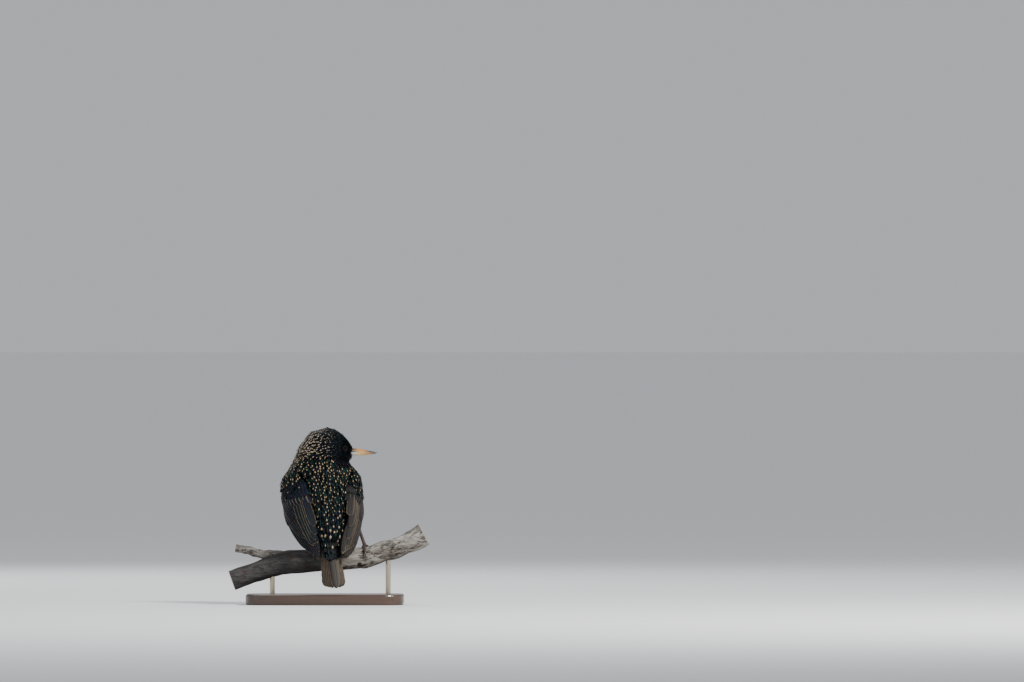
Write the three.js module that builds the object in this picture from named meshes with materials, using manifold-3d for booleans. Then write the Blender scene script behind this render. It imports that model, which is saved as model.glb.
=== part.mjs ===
// A European starling at life size, perched on a cut length of branch that a flat display base carries.
// Millimetres, +Z up. The bird's back faces -Y, and its head is turned over its right shoulder towards +X.
// The origin is the middle of the base's underside.
import * as THREE from "three";
import { mergeVertices } from "three/addons/utils/BufferGeometryUtils.js";
import Module from "manifold-3d";

const wasm = await Module();
wasm.setup();

const vec = (x, y, z) => new THREE.Vector3(x, y, z);
const degrees = THREE.MathUtils.degToRad;
const mix = THREE.MathUtils.lerp;
const smooth = THREE.MathUtils.smoothstep;

// Driving dimensions
const GAP = 0.3; // between pieces that touch
const BASE = { long: 150, deep: 92, thick: 10, corner: 18, bevel: 1.6 };
const TAIL_CLEARANCE = 6; // from the base's top to the tip of the tail
const TAIL_HANG = 26.3; // from the perch's axis down to the tip of the tail
const PERCH_UP = BASE.thick + TAIL_CLEARANCE + TAIL_HANG;
const HEADING = degrees(13); // the body points this far left of +Y
const BODY_SIDE = 0.5; // the body's middle plane passes this far right of the origin
const HEAD_TURN = degrees(18); // the bill points this far from +X towards +Y
const BILL_DIP = degrees(2);

// A point of the bird's own frame (x right, y forward, z above the perch's axis) in the part's frame.
function toPart(x, y, z) {
  return vec(
    x * Math.cos(HEADING) - y * Math.sin(HEADING) + BODY_SIDE,
    x * Math.sin(HEADING) + y * Math.cos(HEADING),
    z + PERCH_UP,
  );
}

// Solids

// A closed solid from points and triangles, turned to face out.
function closed(points, triangles) {
  let volume = 0;
  for (let i = 0; i < triangles.length; i += 3) {
    const [a, b, c] = [0, 1, 2].map((k) => points[triangles[i + k]]);
    volume += a.dot(b.clone().cross(c));
  }
  const facing = [...triangles];
  if (volume < 0)
    for (let i = 0; i < facing.length; i += 3)
      [facing[i + 1], facing[i + 2]] = [facing[i + 2], facing[i + 1]];
  return new wasm.Manifold(
    new wasm.Mesh({
      numProp: 3,
      vertProperties: new Float32Array(points.flatMap((p) => [p.x, p.y, p.z])),
      triVerts: new Uint32Array(facing),
    }),
  );
}

// A closed solid through rings of points, each end closed by a fan.
function loft(rings) {
  const around = rings[0].length;
  const points = rings.flat();
  const triangles = [];
  for (let i = 0; i + 1 < rings.length; i++)
    for (let j = 0; j < around; j++) {
      const a = i * around + j;
      const b = i * around + ((j + 1) % around);
      triangles.push(a, b, b + around, a, b + around, a + around);
    }
  for (const [ring, flip] of [[0, true], [rings.length - 1, false]]) {
    const middle = rings[ring].reduce((sum, p) => sum.add(p), vec(0, 0, 0)).divideScalar(around);
    points.push(middle);
    for (let j = 0; j < around; j++) {
      const a = ring * around + j;
      const b = ring * around + ((j + 1) % around);
      triangles.push(...(flip ? [b, a, points.length - 1] : [a, b, points.length - 1]));
    }
  }
  return closed(points, triangles);
}

// A closed plate between two alike grids of points, over and under, both split along the same diagonals.
function plate(over, under) {
  const rows = over.length;
  const across = over[0].length;
  const points = [...over.flat(), ...under.flat()];
  const half = rows * across;
  const triangles = [];
  for (let i = 0; i + 1 < rows; i++)
    for (let j = 0; j + 1 < across; j++) {
      const a = i * across + j;
      const [b, c, d] = [a + 1, a + across, a + across + 1];
      triangles.push(a, b, d, a, d, c);
      triangles.push(half + a, half + d, half + b, half + a, half + c, half + d);
    }
  const wall = (a, b) => triangles.push(b, a, half + a, b, half + a, half + b);
  for (let j = 0; j + 1 < across; j++) {
    wall(j, j + 1);
    wall((rows - 1) * across + j + 1, (rows - 1) * across + j);
  }
  for (let i = 0; i + 1 < rows; i++) {
    wall((i + 1) * across, i * across);
    wall(i * across + across - 1, (i + 1) * across + across - 1);
  }
  return closed(points, triangles);
}

// A tube along a curve, with its radius given by a function of the share of its length.
function tube(curve, radiusAt, steps, sides, grow = 0) {
  const frames = curve.computeFrenetFrames(steps, false);
  const rings = [];
  for (let i = 0; i <= steps; i++) {
    const middle = curve.getPointAt(i / steps);
    if (i === 0) middle.addScaledVector(frames.tangents[0], -grow);
    if (i === steps) middle.addScaledVector(frames.tangents[i], grow);
    const radius = radiusAt(i / steps) + grow;
    rings.push(
      Array.from({ length: sides }, (_, j) => {
        const turn = (2 * Math.PI * j) / sides;
        return middle
          .clone()
          .addScaledVector(frames.normals[i], radius * Math.cos(turn))
          .addScaledVector(frames.binormals[i], radius * Math.sin(turn));
      }),
    );
  }
  return loft(rings);
}

// A geometry as a solid.
function solidOf(geometry) {
  const bare = geometry.clone();
  bare.deleteAttribute("normal");
  bare.deleteAttribute("uv");
  const merged = mergeVertices(bare, 1e-4);
  const places = merged.getAttribute("position");
  const point = (_, i) => new THREE.Vector3().fromBufferAttribute(places, i);
  const points = Array.from({ length: places.count }, point);
  const corners = Array.from(merged.index.array);
  const whole = [];
  for (let i = 0; i < corners.length; i += 3) {
    const [a, b, c] = corners.slice(i, i + 3);
    if (a !== b && b !== c && a !== c) whole.push(a, b, c);
  }
  return closed(points, whole);
}

function ball(middle, radius, round = 12, high = 8) {
  return solidOf(new THREE.SphereGeometry(radius, round, high).translate(middle.x, middle.y, middle.z));
}

// The largest closed surface of a solid, with any loose scrap or sealed hollow dropped.
function largest(solid) {
  return solid.decompose().sort((a, b) => b.volume() - a.volume())[0];
}

const union = (pieces) => wasm.Manifold.union(pieces);

// A point of a curve, carried on straight past either end.
function along(curve, share) {
  const inside = Math.min(1, Math.max(0, share));
  const spot = curve.getPoint(inside);
  if (inside !== share) {
    const step = 0.01;
    const from = curve.getPoint(inside > 0.5 ? 1 - step : 0);
    const to = curve.getPoint(inside > 0.5 ? 1 : step);
    spot.addScaledVector(to.sub(from), (share - inside) / step);
  }
  return spot;
}

// An oval's point: the angle runs from the back (0) over the right side to the belly.
function oval(angle, wide, over, under, squareness) {
  const power = 2 / squareness;
  const s = Math.sin(angle);
  const c = Math.cos(angle);
  const high = c > 0 ? over : under;
  return [Math.sign(s) * Math.abs(s) ** power * wide, Math.sign(c) * Math.abs(c) ** power * high];
}

// Trunk: rump, back, belly, breast and neck, as ovals square to the line of the spine.
const TRUNK = [
  { side: 0, forward: -26, up: 16.5, wide: 8.5, back: 4.5, belly: 5.5 },
  { side: 0, forward: -20.5, up: 26, wide: 17, back: 10, belly: 13 },
  { side: 0, forward: -9.5, up: 42, wide: 26, back: 16, belly: 25 },
  { side: -0.3, forward: 2.5, up: 58, wide: 33.5, back: 20, belly: 31 },
  { side: -1.2, forward: 11.5, up: 73, wide: 38, back: 21.5, belly: 31.5 },
  { side: -0.8, forward: 17, up: 86, wide: 31.5, back: 21, belly: 26 },
  { side: -0.4, forward: 18.5, up: 97, wide: 24.5, back: 18.5, belly: 20 },
  { side: -1, forward: 17, up: 108, wide: 20, back: 15, belly: 15 },
  { side: 0, forward: 17, up: 118, wide: 12, back: 9, belly: 9 },
];
const TRUNK_SQUARENESS = 2.2;
const TRUNK_STEPS = 17;
const TRUNK_SIDES = 24;
const spine = new THREE.CatmullRomCurve3(TRUNK.map((s) => vec(s.side, s.forward, s.up)));
const girth = new THREE.CatmullRomCurve3(TRUNK.map((s) => vec(s.wide, s.back, s.belly)));

function trunk(grow = 0) {
  const rings = [];
  for (let i = 0; i <= TRUNK_STEPS; i++) {
    const share = i / TRUNK_STEPS;
    const line = spine.getTangent(share);
    const middle = spine.getPoint(share);
    if (i === 0) middle.addScaledVector(line, -grow);
    const size = girth.getPoint(share);
    const back = vec(0, -line.z, line.y).normalize();
    rings.push(
      Array.from({ length: TRUNK_SIDES }, (_, j) => {
        const angle = (2 * Math.PI * j) / TRUNK_SIDES;
        const [right, up] = oval(angle, size.x + grow, size.y + grow, size.z + grow, TRUNK_SQUARENESS);
        const p = middle.clone().addScaledVector(back, up);
        return toPart(p.x + right, p.y, p.z);
      }),
    );
  }
  return loft(rings);
}

// Head: ovals square to a line from the nape to the bill.
const HEAD_AT = vec(5, 20, 103 + PERCH_UP);
const bill = vec(Math.cos(HEAD_TURN), Math.sin(HEAD_TURN), -Math.tan(BILL_DIP)).normalize();
const faceRight = vec(Math.sin(HEAD_TURN), -Math.cos(HEAD_TURN), 0);
const crown = faceRight.clone().cross(bill).normalize();
const HEAD = [
  { on: -26.3, crown: 8, chin: 4, half: 7 },
  { on: -21.5, crown: 16.4, chin: 10, half: 13.6 },
  { on: -12, crown: 20.5, chin: 14, half: 16.5 },
  { on: -3, crown: 22.8, chin: 15, half: 16.2 },
  { on: 6, crown: 20.4, chin: 13.6, half: 13.8 },
  { on: 13, crown: 15.4, chin: 11, half: 9.8 },
  { on: 18.5, crown: 10, chin: 9, half: 5.8 },
  { on: 22, crown: 5, chin: 5.8, half: 3.8 },
  { on: 23.4, crown: 2.2, chin: 3, half: 2 },
];
const HEAD_SQUARENESS = 2.1;
const HEAD_STEPS = 14;
const HEAD_SIDES = 20;

// A point of the head's own frame: on towards the bill, right to the face's right, up to the crown.
function onHead(on, right, up) {
  const along = HEAD_AT.clone().addScaledVector(bill, on);
  return along.addScaledVector(faceRight, right).addScaledVector(crown, up);
}

function headSolid(grow = 0) {
  const line = new THREE.CatmullRomCurve3(HEAD.map((s) => vec(s.on, 0, 0)));
  const size = new THREE.CatmullRomCurve3(HEAD.map((s) => vec(s.half, s.crown, s.chin)));
  const rings = [];
  for (let i = 0; i <= HEAD_STEPS; i++) {
    const at = size.getPoint(i / HEAD_STEPS);
    const on = line.getPoint(i / HEAD_STEPS).x + (i === 0 ? -grow : 0) + (i === HEAD_STEPS ? grow : 0);
    rings.push(
      Array.from({ length: HEAD_SIDES }, (_, j) => {
        const angle = (2 * Math.PI * j) / HEAD_SIDES;
        const [right, up] = oval(angle, at.x + grow, at.y + grow, at.z + grow, HEAD_SQUARENESS);
        return onHead(on, right, up);
      }),
    );
  }
  return loft(rings);
}

// Bill: two half-round cones that meet along the mouth line.
const BILL = {
  from: 17, // inside the face
  tip: 46.4,
  overbite: 0.8, // the upper half passes the lower
  half: 4.8,
  over: 4.56,
  under: 4.24,
  tipHalf: 0.75,
  tipOver: 0.5,
  taper: 0.82, // power by which it narrows
  fullness: 0.9, // power that squares its section
  steps: 8,
  arc: 7,
};
const NOSTRIL = { on: 26, up: 1.9, long: 1.7, high: 0.55, deep: 0.9, inset: 0.86 };

const billHalfWidth = (share) => mix(BILL.tipHalf, BILL.half, (1 - share) ** BILL.taper);

function billHalf(sign) {
  const deep = sign > 0 ? BILL.over : BILL.under;
  const tip = BILL.tip - (sign < 0 ? BILL.overbite : 0);
  const rings = [];
  for (let i = 0; i <= BILL.steps; i++) {
    const share = i / BILL.steps;
    const half = billHalfWidth(share);
    const high = mix(BILL.tipOver, deep, (1 - share) ** BILL.taper);
    rings.push(
      Array.from({ length: BILL.arc }, (_, j) => {
        const turn = (Math.PI * j) / (BILL.arc - 1);
        const up = GAP / 2 + Math.sin(turn) ** BILL.fullness * high;
        return onHead(mix(BILL.from, tip, share), Math.cos(turn) * half, sign * up);
      }),
    );
  }
  return loft(rings);
}

function nostril(side) {
  const share = (NOSTRIL.on - BILL.from) / (BILL.tip - BILL.from);
  const dent = new THREE.SphereGeometry(1, 8, 6).scale(NOSTRIL.long, NOSTRIL.deep, NOSTRIL.high);
  dent.applyMatrix4(new THREE.Matrix4().makeBasis(bill, faceRight, crown));
  const at = onHead(NOSTRIL.on, side * billHalfWidth(share) * NOSTRIL.inset, NOSTRIL.up);
  return solidOf(dent.translate(at.x, at.y, at.z));
}

// Eyes: a ball in a socket, ringed by its lids.
const EYE = { on: 10.4, up: 3.2, right: 9.2, radius: 2.9, forward: 0.32 };
const LID = { ring: 2.6, thick: 0.5, out: 1.45 };

function eyeAt(side) {
  return onHead(EYE.on, side * EYE.right, EYE.up);
}

function lids(side) {
  const out = faceRight.clone().multiplyScalar(side).addScaledVector(bill, EYE.forward).normalize();
  const ring = new THREE.TorusGeometry(LID.ring, LID.thick, 5, 12);
  ring.applyQuaternion(new THREE.Quaternion().setFromUnitVectors(vec(0, 0, 1), out));
  const at = eyeAt(side).addScaledVector(out, LID.out);
  return solidOf(ring.translate(at.x, at.y, at.z));
}

// Mouth line: a groove each side that carries the gape back from the bill's root.
const GAPE = { from: 14.5, to: 24, high: 0.7, down: 0.4, inner: 4.4, outer: 12.4 };

function gape(side) {
  const box = new THREE.BoxGeometry(GAPE.to - GAPE.from, GAPE.outer - GAPE.inner, GAPE.high);
  box.applyMatrix4(new THREE.Matrix4().makeBasis(bill, faceRight, crown));
  const at = onHead((GAPE.from + GAPE.to) / 2, (side * (GAPE.inner + GAPE.outer)) / 2, -GAPE.down);
  return solidOf(box.translate(at.x, at.y, at.z));
}

// Wings: each lies on a curved patch between an inner edge along the back and an outer edge along the flank.
const WING = {
  inner: {
    "-1": [
      [19, 4, 82], [18.6, -5, 68], [16.8, -14.5, 54], [15.3, -24, 39], [12.2, -33.5, 20], [12.6, -42, 2],
    ],
    1: [[19, 4, 82], [18, -5, 68], [16, -14.5, 54], [14.2, -24, 39], [9, -33.5, 20], [6.4, -42, 2]],
  },
  outer: {
    "-1": [[38.5, 24, 73], [38.8, 16, 60], [38, 6, 46], [37, -6, 31], [29.6, -21, 14], [18, -38.5, -2]],
    1: [[35.5, 24, 73], [36.2, 16, 60], [35.2, 6, 46], [31.4, -6, 31], [25.4, -21, 14], [18.5, -37.5, 0]],
  },
  bulge: 6.2,
  tipBulge: 1.2,
  flattens: 0.4, // where the bulge begins to fall
  under: 2.6, // from the patch to the wing's inner face
};
const VANE = { thick: 0.6, apart: 0.42, narrowest: 1.05 }; // narrowest step from one feather to the next
const LONG_VANE = [[0, 0.66], [0.34, 0.92], [0.7, 1], [0.88, 0.84], [0.97, 0.46], [1, 0.12]];
const SHORT_VANE = [[0, 0.7], [0.45, 0.95], [0.76, 1], [0.92, 0.68], [1, 0.14]];

function wingPatch(side) {
  const edge = (points) => new THREE.CatmullRomCurve3(points.map(([x, y, z]) => toPart(side * x, y, z)));
  const inner = edge(WING.inner[side]);
  const outer = edge(WING.outer[side]);
  const flat = (u, v) => {
    const a = along(inner, u);
    const b = along(outer, u);
    const across = b.clone().sub(a);
    const down = along(inner, u + 0.01).sub(along(inner, u - 0.01));
    const out = down.cross(across).normalize().multiplyScalar(side);
    const bulge = mix(WING.bulge, WING.tipBulge, smooth(u, WING.flattens, 1));
    return a.addScaledVector(across, v).addScaledVector(out, bulge * 4 * v * (1 - v));
  };
  const span = (u) => along(inner, u).distanceTo(along(outer, u));
  const at = (u, v, high) => {
    const step = 0.01;
    const down = flat(u + step, v).sub(flat(u - step, v));
    const across = flat(u, v + step).sub(flat(u, v - step));
    return flat(u, v).addScaledVector(down.cross(across).normalize(), side * high);
  };
  return { at, span };
}

// Where a feather's middle line crosses the patch, at a share of the patch's length.
const lineAt = ({ root, tip }, u) => mix(root[1], tip[1], (u - root[0]) / (tip[0] - root[0]));

// One feather on a patch. Its outer edge lies high and its inner edge dips under the feather next to it.
function vane(patch, feather, next) {
  const { root, tip, wide, high, sunk, rise = 0.3, outline = LONG_VANE } = feather;
  const over = [];
  const under = [];
  for (const [share, fill] of outline) {
    const u = mix(root[0], tip[0], share);
    const v = mix(root[1], tip[1], share);
    const span = patch.span(u);
    const half = (wide * fill) / 2;
    const step = Math.max(VANE.narrowest, Math.abs(lineAt(next, u) - v) * span);
    const drop = ((VANE.thick + VANE.apart) * 2 * half) / step;
    const lie = mix(sunk, high, smooth(share, 0, rise));
    const edges = [[v + half / span, lie], [v - half / span, lie - drop]];
    over.push(edges.map(([across, up]) => patch.at(u, across, up + VANE.thick / 2)));
    under.push(edges.map(([across, up]) => patch.at(u, across, up - VANE.thick / 2)));
  }
  return plate(over, under);
}

// A row of feathers from the outermost to the innermost, each laid for the step to its neighbour.
function row(patch, feathers) {
  return feathers.map((feather, i) => vane(patch, feather, feathers[i + 1] ?? feathers[i - 1]));
}

// A row whose feathers change evenly from the first to the last.
function evenRow(patch, count, make) {
  return row(patch, Array.from({ length: count }, (_, i) => make(i / (count - 1))));
}

// The shoulder and coverts' bed, which all the wing's feathers grow from.
const PAD = {
  to: 0.37,
  top: 3.1,
  edgeTop: -0.2,
  outer: 0.985, // leaves the patch's very edge bare
  narrowing: 0.16,
  roundedOver: 0.13,
  fallsFrom: 0.78, // share of its length where it thins towards the feathers
  fall: 0.6,
  rows: 7,
  across: 6,
};

// How far the patch is narrowed from each edge, to round the shoulder.
const shoulder = (u) => PAD.narrowing * (1 - smooth(u, 0, PAD.roundedOver)) ** 2;

function pad(patch) {
  const over = [];
  const under = [];
  for (let i = 0; i < PAD.rows; i++) {
    const share = (i / (PAD.rows - 1)) ** 1.3;
    const u = PAD.to * share;
    over.push([]);
    under.push([]);
    for (let j = 0; j < PAD.across; j++) {
      const place = j / (PAD.across - 1);
      const v = mix(shoulder(u), PAD.outer - shoulder(u), place);
      const arch = 1 - (2 * Math.abs(place - 0.5)) ** 4;
      const ends = smooth(share, -0.12, 0.12) * (1 - smooth(share, PAD.fallsFrom, 1) * PAD.fall);
      over[i].push(patch.at(u, v, mix(PAD.edgeTop, PAD.top, arch) * ends));
      under[i].push(patch.at(u, v, -WING.under));
    }
  }
  return plate(over, under);
}

// Rows of a wing from the outermost feather to the innermost, each point as [down the patch, across it].
const PRIMARY_TIPS = [[0.87, 0.82], [0.93, 0.68], [0.98, 0.5], [1.0, 0.34], [0.96, 0.2], [0.9, 0.12]];
const PRIMARIES = { root: [0.3, 0.92], between: 0.08, wide: 4.6, high: 0.5, sunk: -0.7 };
const WING_ROWS = {
  secondaries: {
    count: 5, roots: [[0.26, 0.72], [0.26, 0.32]], tips: [[0.68, 0.68], [0.75, 0.24]],
    wide: 5.2, high: 3.2, sunk: 0.9, rise: 0.5, outline: LONG_VANE,
  },
  tertials: {
    count: 3, roots: [[0.2, 0.25], [0.2, 0.11]], tips: [[0.78, 0.22], [0.6, 0.09]],
    wide: 6.8, high: 5.4, sunk: 1.6, rise: 0.4, outline: LONG_VANE,
  },
  primaryCoverts: {
    count: 3, roots: [[0.26, 0.93], [0.26, 0.84]], tips: [[0.53, 0.94], [0.48, 0.84]],
    wide: 4.2, high: 3, sunk: 1, rise: 0.6, outline: SHORT_VANE,
  },
  greaterCoverts: {
    count: 6, roots: [[0.18, 0.74], [0.18, 0.39]], tips: [[0.47, 0.76], [0.42, 0.42]],
    wide: 5.4, high: 5.8, lower: 1, sunk: 2.1, rise: 0.8, outline: SHORT_VANE,
  },
  medianCoverts: {
    count: 6, roots: [[0.07, 0.82], [0.07, 0.24]], tips: [[0.31, 0.86], [0.27, 0.26]],
    wide: 6.4, high: 6.5, lower: 2.4, sunk: 1.8, rise: 0.8, outline: SHORT_VANE,
  },
};

// A row of feathers of which the outermost may lie lower than the rest.
function wingRow(patch, { count, roots, tips, high, lower = 0, ...shape }) {
  const between = (ends, s) => [mix(ends[0][0], ends[1][0], s), mix(ends[0][1], ends[1][1], s)];
  return evenRow(patch, count, (s) => ({
    root: between(roots, s), tip: between(tips, s), high: high - lower * (1 - s) ** 2, ...shape,
  }));
}

function wing(side) {
  const patch = wingPatch(side);
  const { root, between, ...shape } = PRIMARIES;
  const primaries = PRIMARY_TIPS.map((tip, i) => ({ root: [root[0], root[1] - between * i], tip, ...shape }));
  const rows = Object.values(WING_ROWS).flatMap((size) => wingRow(patch, size));
  return { patch, solid: largest(union([pad(patch), ...row(patch, primaries), ...rows])) };
}

// The space that a wing takes in the body. It opens outwards past the top, where the mantle laps over.
const ROOM = {
  from: -0.006,
  to: 1.01,
  clear: 16, // above the patch
  overPad: 0.6,
  opensFrom: 0.03,
  opensTo: 0.1,
  margin: 2.2, // beside the flight feathers
  marginFrom: 0.35,
  marginTo: 0.6,
  rows: 12,
  across: 5,
};

function wingRoom(patch) {
  const over = [];
  const under = [];
  for (let i = 0; i <= ROOM.rows; i++) {
    const u = mix(ROOM.from, ROOM.to, (i / ROOM.rows) ** 1.3);
    const beside = mix(GAP * 2, ROOM.margin, smooth(u, ROOM.marginFrom, ROOM.marginTo));
    const margin = beside / patch.span(u) - shoulder(u);
    const open = mix(PAD.top + ROOM.overPad, ROOM.clear, smooth(u, ROOM.opensFrom, ROOM.opensTo));
    over.push([]);
    under.push([]);
    for (let j = 0; j < ROOM.across; j++) {
      const v = mix(-margin, 1 + margin, j / (ROOM.across - 1));
      over[i].push(patch.at(u, v, open));
      under[i].push(patch.at(u, v, -WING.under - GAP));
    }
  }
  return plate(over, under);
}

// Tail: twelve feathers in a folded fan, roofed over by the upper coverts and backed by the lower ones.
const TAIL = {
  root: [0, -20.3, 25],
  lean: degrees(60),
  long: 59,
  half: { "-1": 13.4, 1: 11.2 },
  pairs: 6,
  shorter: 0.9, // from one pair to the next
  central: { edge: 5, wide: 9 },
  wide: 5.6,
  fan: 0.86, // power by which the pairs spread
  slope: 0.1, // fall of the fan to each side
  core: { size: [9.5, 14, 4.2], on: 5, up: 1.4 }, // the flesh that holds the roots
};
const UPPER_COVERTS = { count: 6, narrow: 0.7, wide: 5.4, rise: 0.6, round: 14, fall: 8, uneven: 0.3 };
const LOWER_COVERTS = { count: 5, narrow: 0.64, wide: 5.6, rise: 0.5, round: 16, fall: -4, uneven: -0.4 };
const TAIL_COVERTS = [
  { from: 6, to: 30, spread: 18, up: 3, sunk: 0.6, ...UPPER_COVERTS },
  { from: 3, to: 21, spread: 19, up: 4.2, sunk: 0.4, ...UPPER_COVERTS },
  { from: 4, to: 33, spread: 11, up: -7.6, sunk: -2.6, ...LOWER_COVERTS },
];
const tailDown = vec(0, -Math.cos(TAIL.lean), -Math.sin(TAIL.lean));
const tailOver = vec(0, -Math.sin(TAIL.lean), Math.cos(TAIL.lean));

const tailPatch = {
  span: () => 1,
  at: (on, side, high) => {
    const p = vec(...TAIL.root).addScaledVector(tailDown, on).addScaledVector(tailOver, high);
    return toPart(side, p.y, p.z);
  },
};

// A tail feather or covert between a root and a tip, both as [on, side].
function tailVane(root, tip, wide, high, sunk, outline, rise = 0.35) {
  const over = [];
  const under = [];
  for (const [share, fill] of outline) {
    const on = mix(root[0], tip[0], share);
    const middle = mix(root[1], tip[1], share);
    const half = (wide * fill) / 2;
    const lie = mix(sunk, high, smooth(share, 0, rise));
    const slope = -Math.abs(middle) * TAIL.slope;
    for (const [rows, shift] of [[over, VANE.thick / 2], [under, -VANE.thick / 2]])
      rows.push([middle + half, middle - half].map((side) => tailPatch.at(on, side, lie + slope + shift)));
  }
  return plate(over, under);
}

function tailCore() {
  const { size, on, up } = TAIL.core;
  const core = new THREE.SphereGeometry(1, 14, 8).scale(...size);
  core.applyMatrix4(new THREE.Matrix4().makeBasis(vec(1, 0, 0), tailDown, tailOver.clone().negate()));
  const at = vec(...TAIL.root).addScaledVector(tailDown, on).addScaledVector(tailOver, -up);
  core.translate(at.x, at.y, at.z);
  core.applyMatrix4(new THREE.Matrix4().makeRotationZ(HEADING)).translate(BODY_SIDE, 0, PERCH_UP);
  return solidOf(core);
}

// A row of coverts over or under the roots of the tail feathers, lower and shorter to each side.
function tailCoverts(tier) {
  return Array.from({ length: tier.count }, (_, i) => {
    const place = i / (tier.count - 1) - 0.5;
    const root = [tier.from, place * tier.spread * tier.narrow];
    const tip = [tier.to - tier.round * place * place, place * tier.spread];
    const high = tier.up - tier.fall * place * place + tier.uneven * (i % 2);
    return tailVane(root, tip, tier.wide, high, tier.sunk, SHORT_VANE, tier.rise);
  });
}

function tail() {
  const layer = VANE.thick + VANE.apart;
  const pieces = [tailCore()];
  for (let pair = 0; pair < TAIL.pairs; pair++)
    for (const side of [1, -1]) {
      const edge = mix(TAIL.central.edge, TAIL.half[side], (pair / (TAIL.pairs - 1)) ** TAIL.fan);
      const wide = pair === 0 ? TAIL.central.wide : TAIL.wide;
      const level = pair === 0 ? (side > 0 ? 0 : -layer) : -layer * (pair + 1);
      const middle = side * (edge - wide / 2);
      const tip = [TAIL.long - TAIL.shorter * pair, middle];
      pieces.push(tailVane([6, middle * 0.5], tip, wide, level + 0.6, level * 0.4 - 0.6, LONG_VANE));
    }
  for (const tier of TAIL_COVERTS) pieces.push(...tailCoverts(tier));
  return union(pieces);
}

// Perch: a weathered branch, cut at both ends, with a stub of a side twig.
const PERCH = {
  line: [
    [-88.5, 0, 22.8], [-62, 1.5, 32.1], [-33.5, 0.8, 39.8], [-5, 0, 42.2], [24, -0.3, 43.6], [40, 0, 45.6],
    [57, 0.6, 50.4], [74, 1, 55.9], [94, 0.6, 66.4],
  ],
  radii: [9.3, 9.4, 11.4, 10.4, 10, 9.8, 9.6, 9.5, 10.8],
  steps: 24,
  sides: 12,
  rough: 0.35,
};
const TWIG = {
  line: [[-33, 1, 43.5], [-46.5, 2.5, 46.6], [-60, 4, 48], [-73, 5, 51.2], [-85, 5.4, 53.6]],
  radii: [6.5, 4.8, 4.1, 3.9, 3.7],
  steps: 8,
  sides: 8,
  rough: 0.2,
};
const KNOT = { at: [32.4, -8.4, 37.6], size: [5.2, 2.6, 4.2] };
const perchLine = new THREE.CatmullRomCurve3(PERCH.line.map((p) => vec(...p)));

// A value read off a list at a share of its length.
function listed(values, share) {
  const place = share * (values.length - 1);
  const from = Math.min(values.length - 2, Math.floor(place));
  return mix(values[from], values[from + 1], smooth(place - from, 0, 1));
}

// A limb of wood with shallow, repeatable unevenness, square-cut at both ends.
function limb({ line, radii, steps, sides, rough }) {
  const curve = new THREE.CatmullRomCurve3(line.map((p) => vec(...p)));
  const rings = [];
  for (let i = 0; i <= steps; i++) {
    const share = i / steps;
    const middle = curve.getPoint(share);
    const tangent = curve.getTangent(share);
    const up = vec(0, 0, 1).addScaledVector(tangent, -tangent.z).normalize();
    const out = tangent.clone().cross(up);
    rings.push(
      Array.from({ length: sides }, (_, j) => {
        const turn = (2 * Math.PI * j) / sides;
        const broad = Math.sin(3 * turn + 9 * share) + Math.sin(5 * turn - 23 * share);
        const uneven = broad + Math.sin(37 * share + turn);
        const radius = listed(radii, share) + rough * uneven;
        const lifted = middle.clone().addScaledVector(up, radius * Math.cos(turn));
        return lifted.addScaledVector(out, radius * Math.sin(turn));
      }),
    );
  }
  return loft(rings);
}

// Feet: three toes forward over the perch and one back, each wrapped round it, with a claw apart from each.
const FEET = {
  left: { at: -9, heel: toPart(-13, -5, 34), knee: toPart(-13, 5, 45), cuff: 0.62 },
  right: { at: 39.6, heel: toPart(28.5, -4.5, 38), knee: toPart(18, 2, 46), cuff: 0.3 },
};
const TOES = {
  inner: { sides: -1, spread: 5.2, from: 6, to: 76, claw: 23, radius: 1.25 },
  middle: { sides: 0, spread: 0.8, from: 6, to: 92, claw: 25, radius: 1.35 },
  outer: { sides: 1, spread: 5.6, from: 6, to: 80, claw: 23, radius: 1.2 },
  hind: { sides: 0, spread: 0, from: -8, to: -66, claw: -30, radius: 1.5 },
};
// Root, tip and pads are shares of a toe's radius.
const TOE = { root: 1.1, tip: 0.78, pads: 0.09, steps: 7, sides: 6, lean: 0.014 };
const TARSUS = { radius: 1.55, foot: 1.75 };
const THIGH = { radius: 8.5, cuff: 3.1 };
const CLAW = { radius: 0.85, tip: 0.16, arch: 0.9, dip: 0.5 };

// The perch's middle, its lie and its radius where x is.
function perchAt(x) {
  let low = 0;
  let high = 1;
  for (let i = 0; i < 40; i++) {
    const share = (low + high) / 2;
    if (perchLine.getPoint(share).x < x) low = share;
    else high = share;
  }
  const tangent = perchLine.getTangent(low);
  const up = vec(0, 0, 1).addScaledVector(tangent, -tangent.z).normalize();
  const forward = up.clone().cross(tangent);
  return { middle: perchLine.getPoint(low), tangent, up, forward, radius: listed(PERCH.radii, low) };
}

// A point round the perch: the angle runs from its top towards +Y.
function round(spot, angle, aside, away) {
  return spot.middle
    .clone()
    .addScaledVector(spot.tangent, aside)
    .addScaledVector(spot.up, away * Math.cos(degrees(angle)))
    .addScaledVector(spot.forward, away * Math.sin(degrees(angle)));
}

const GRIP = { toes: 1.1, roots: 2.3, sole: 2.7 }; // how far each lies off the bark
const SOLE = 2.3; // radius of the ball of the foot

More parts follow.
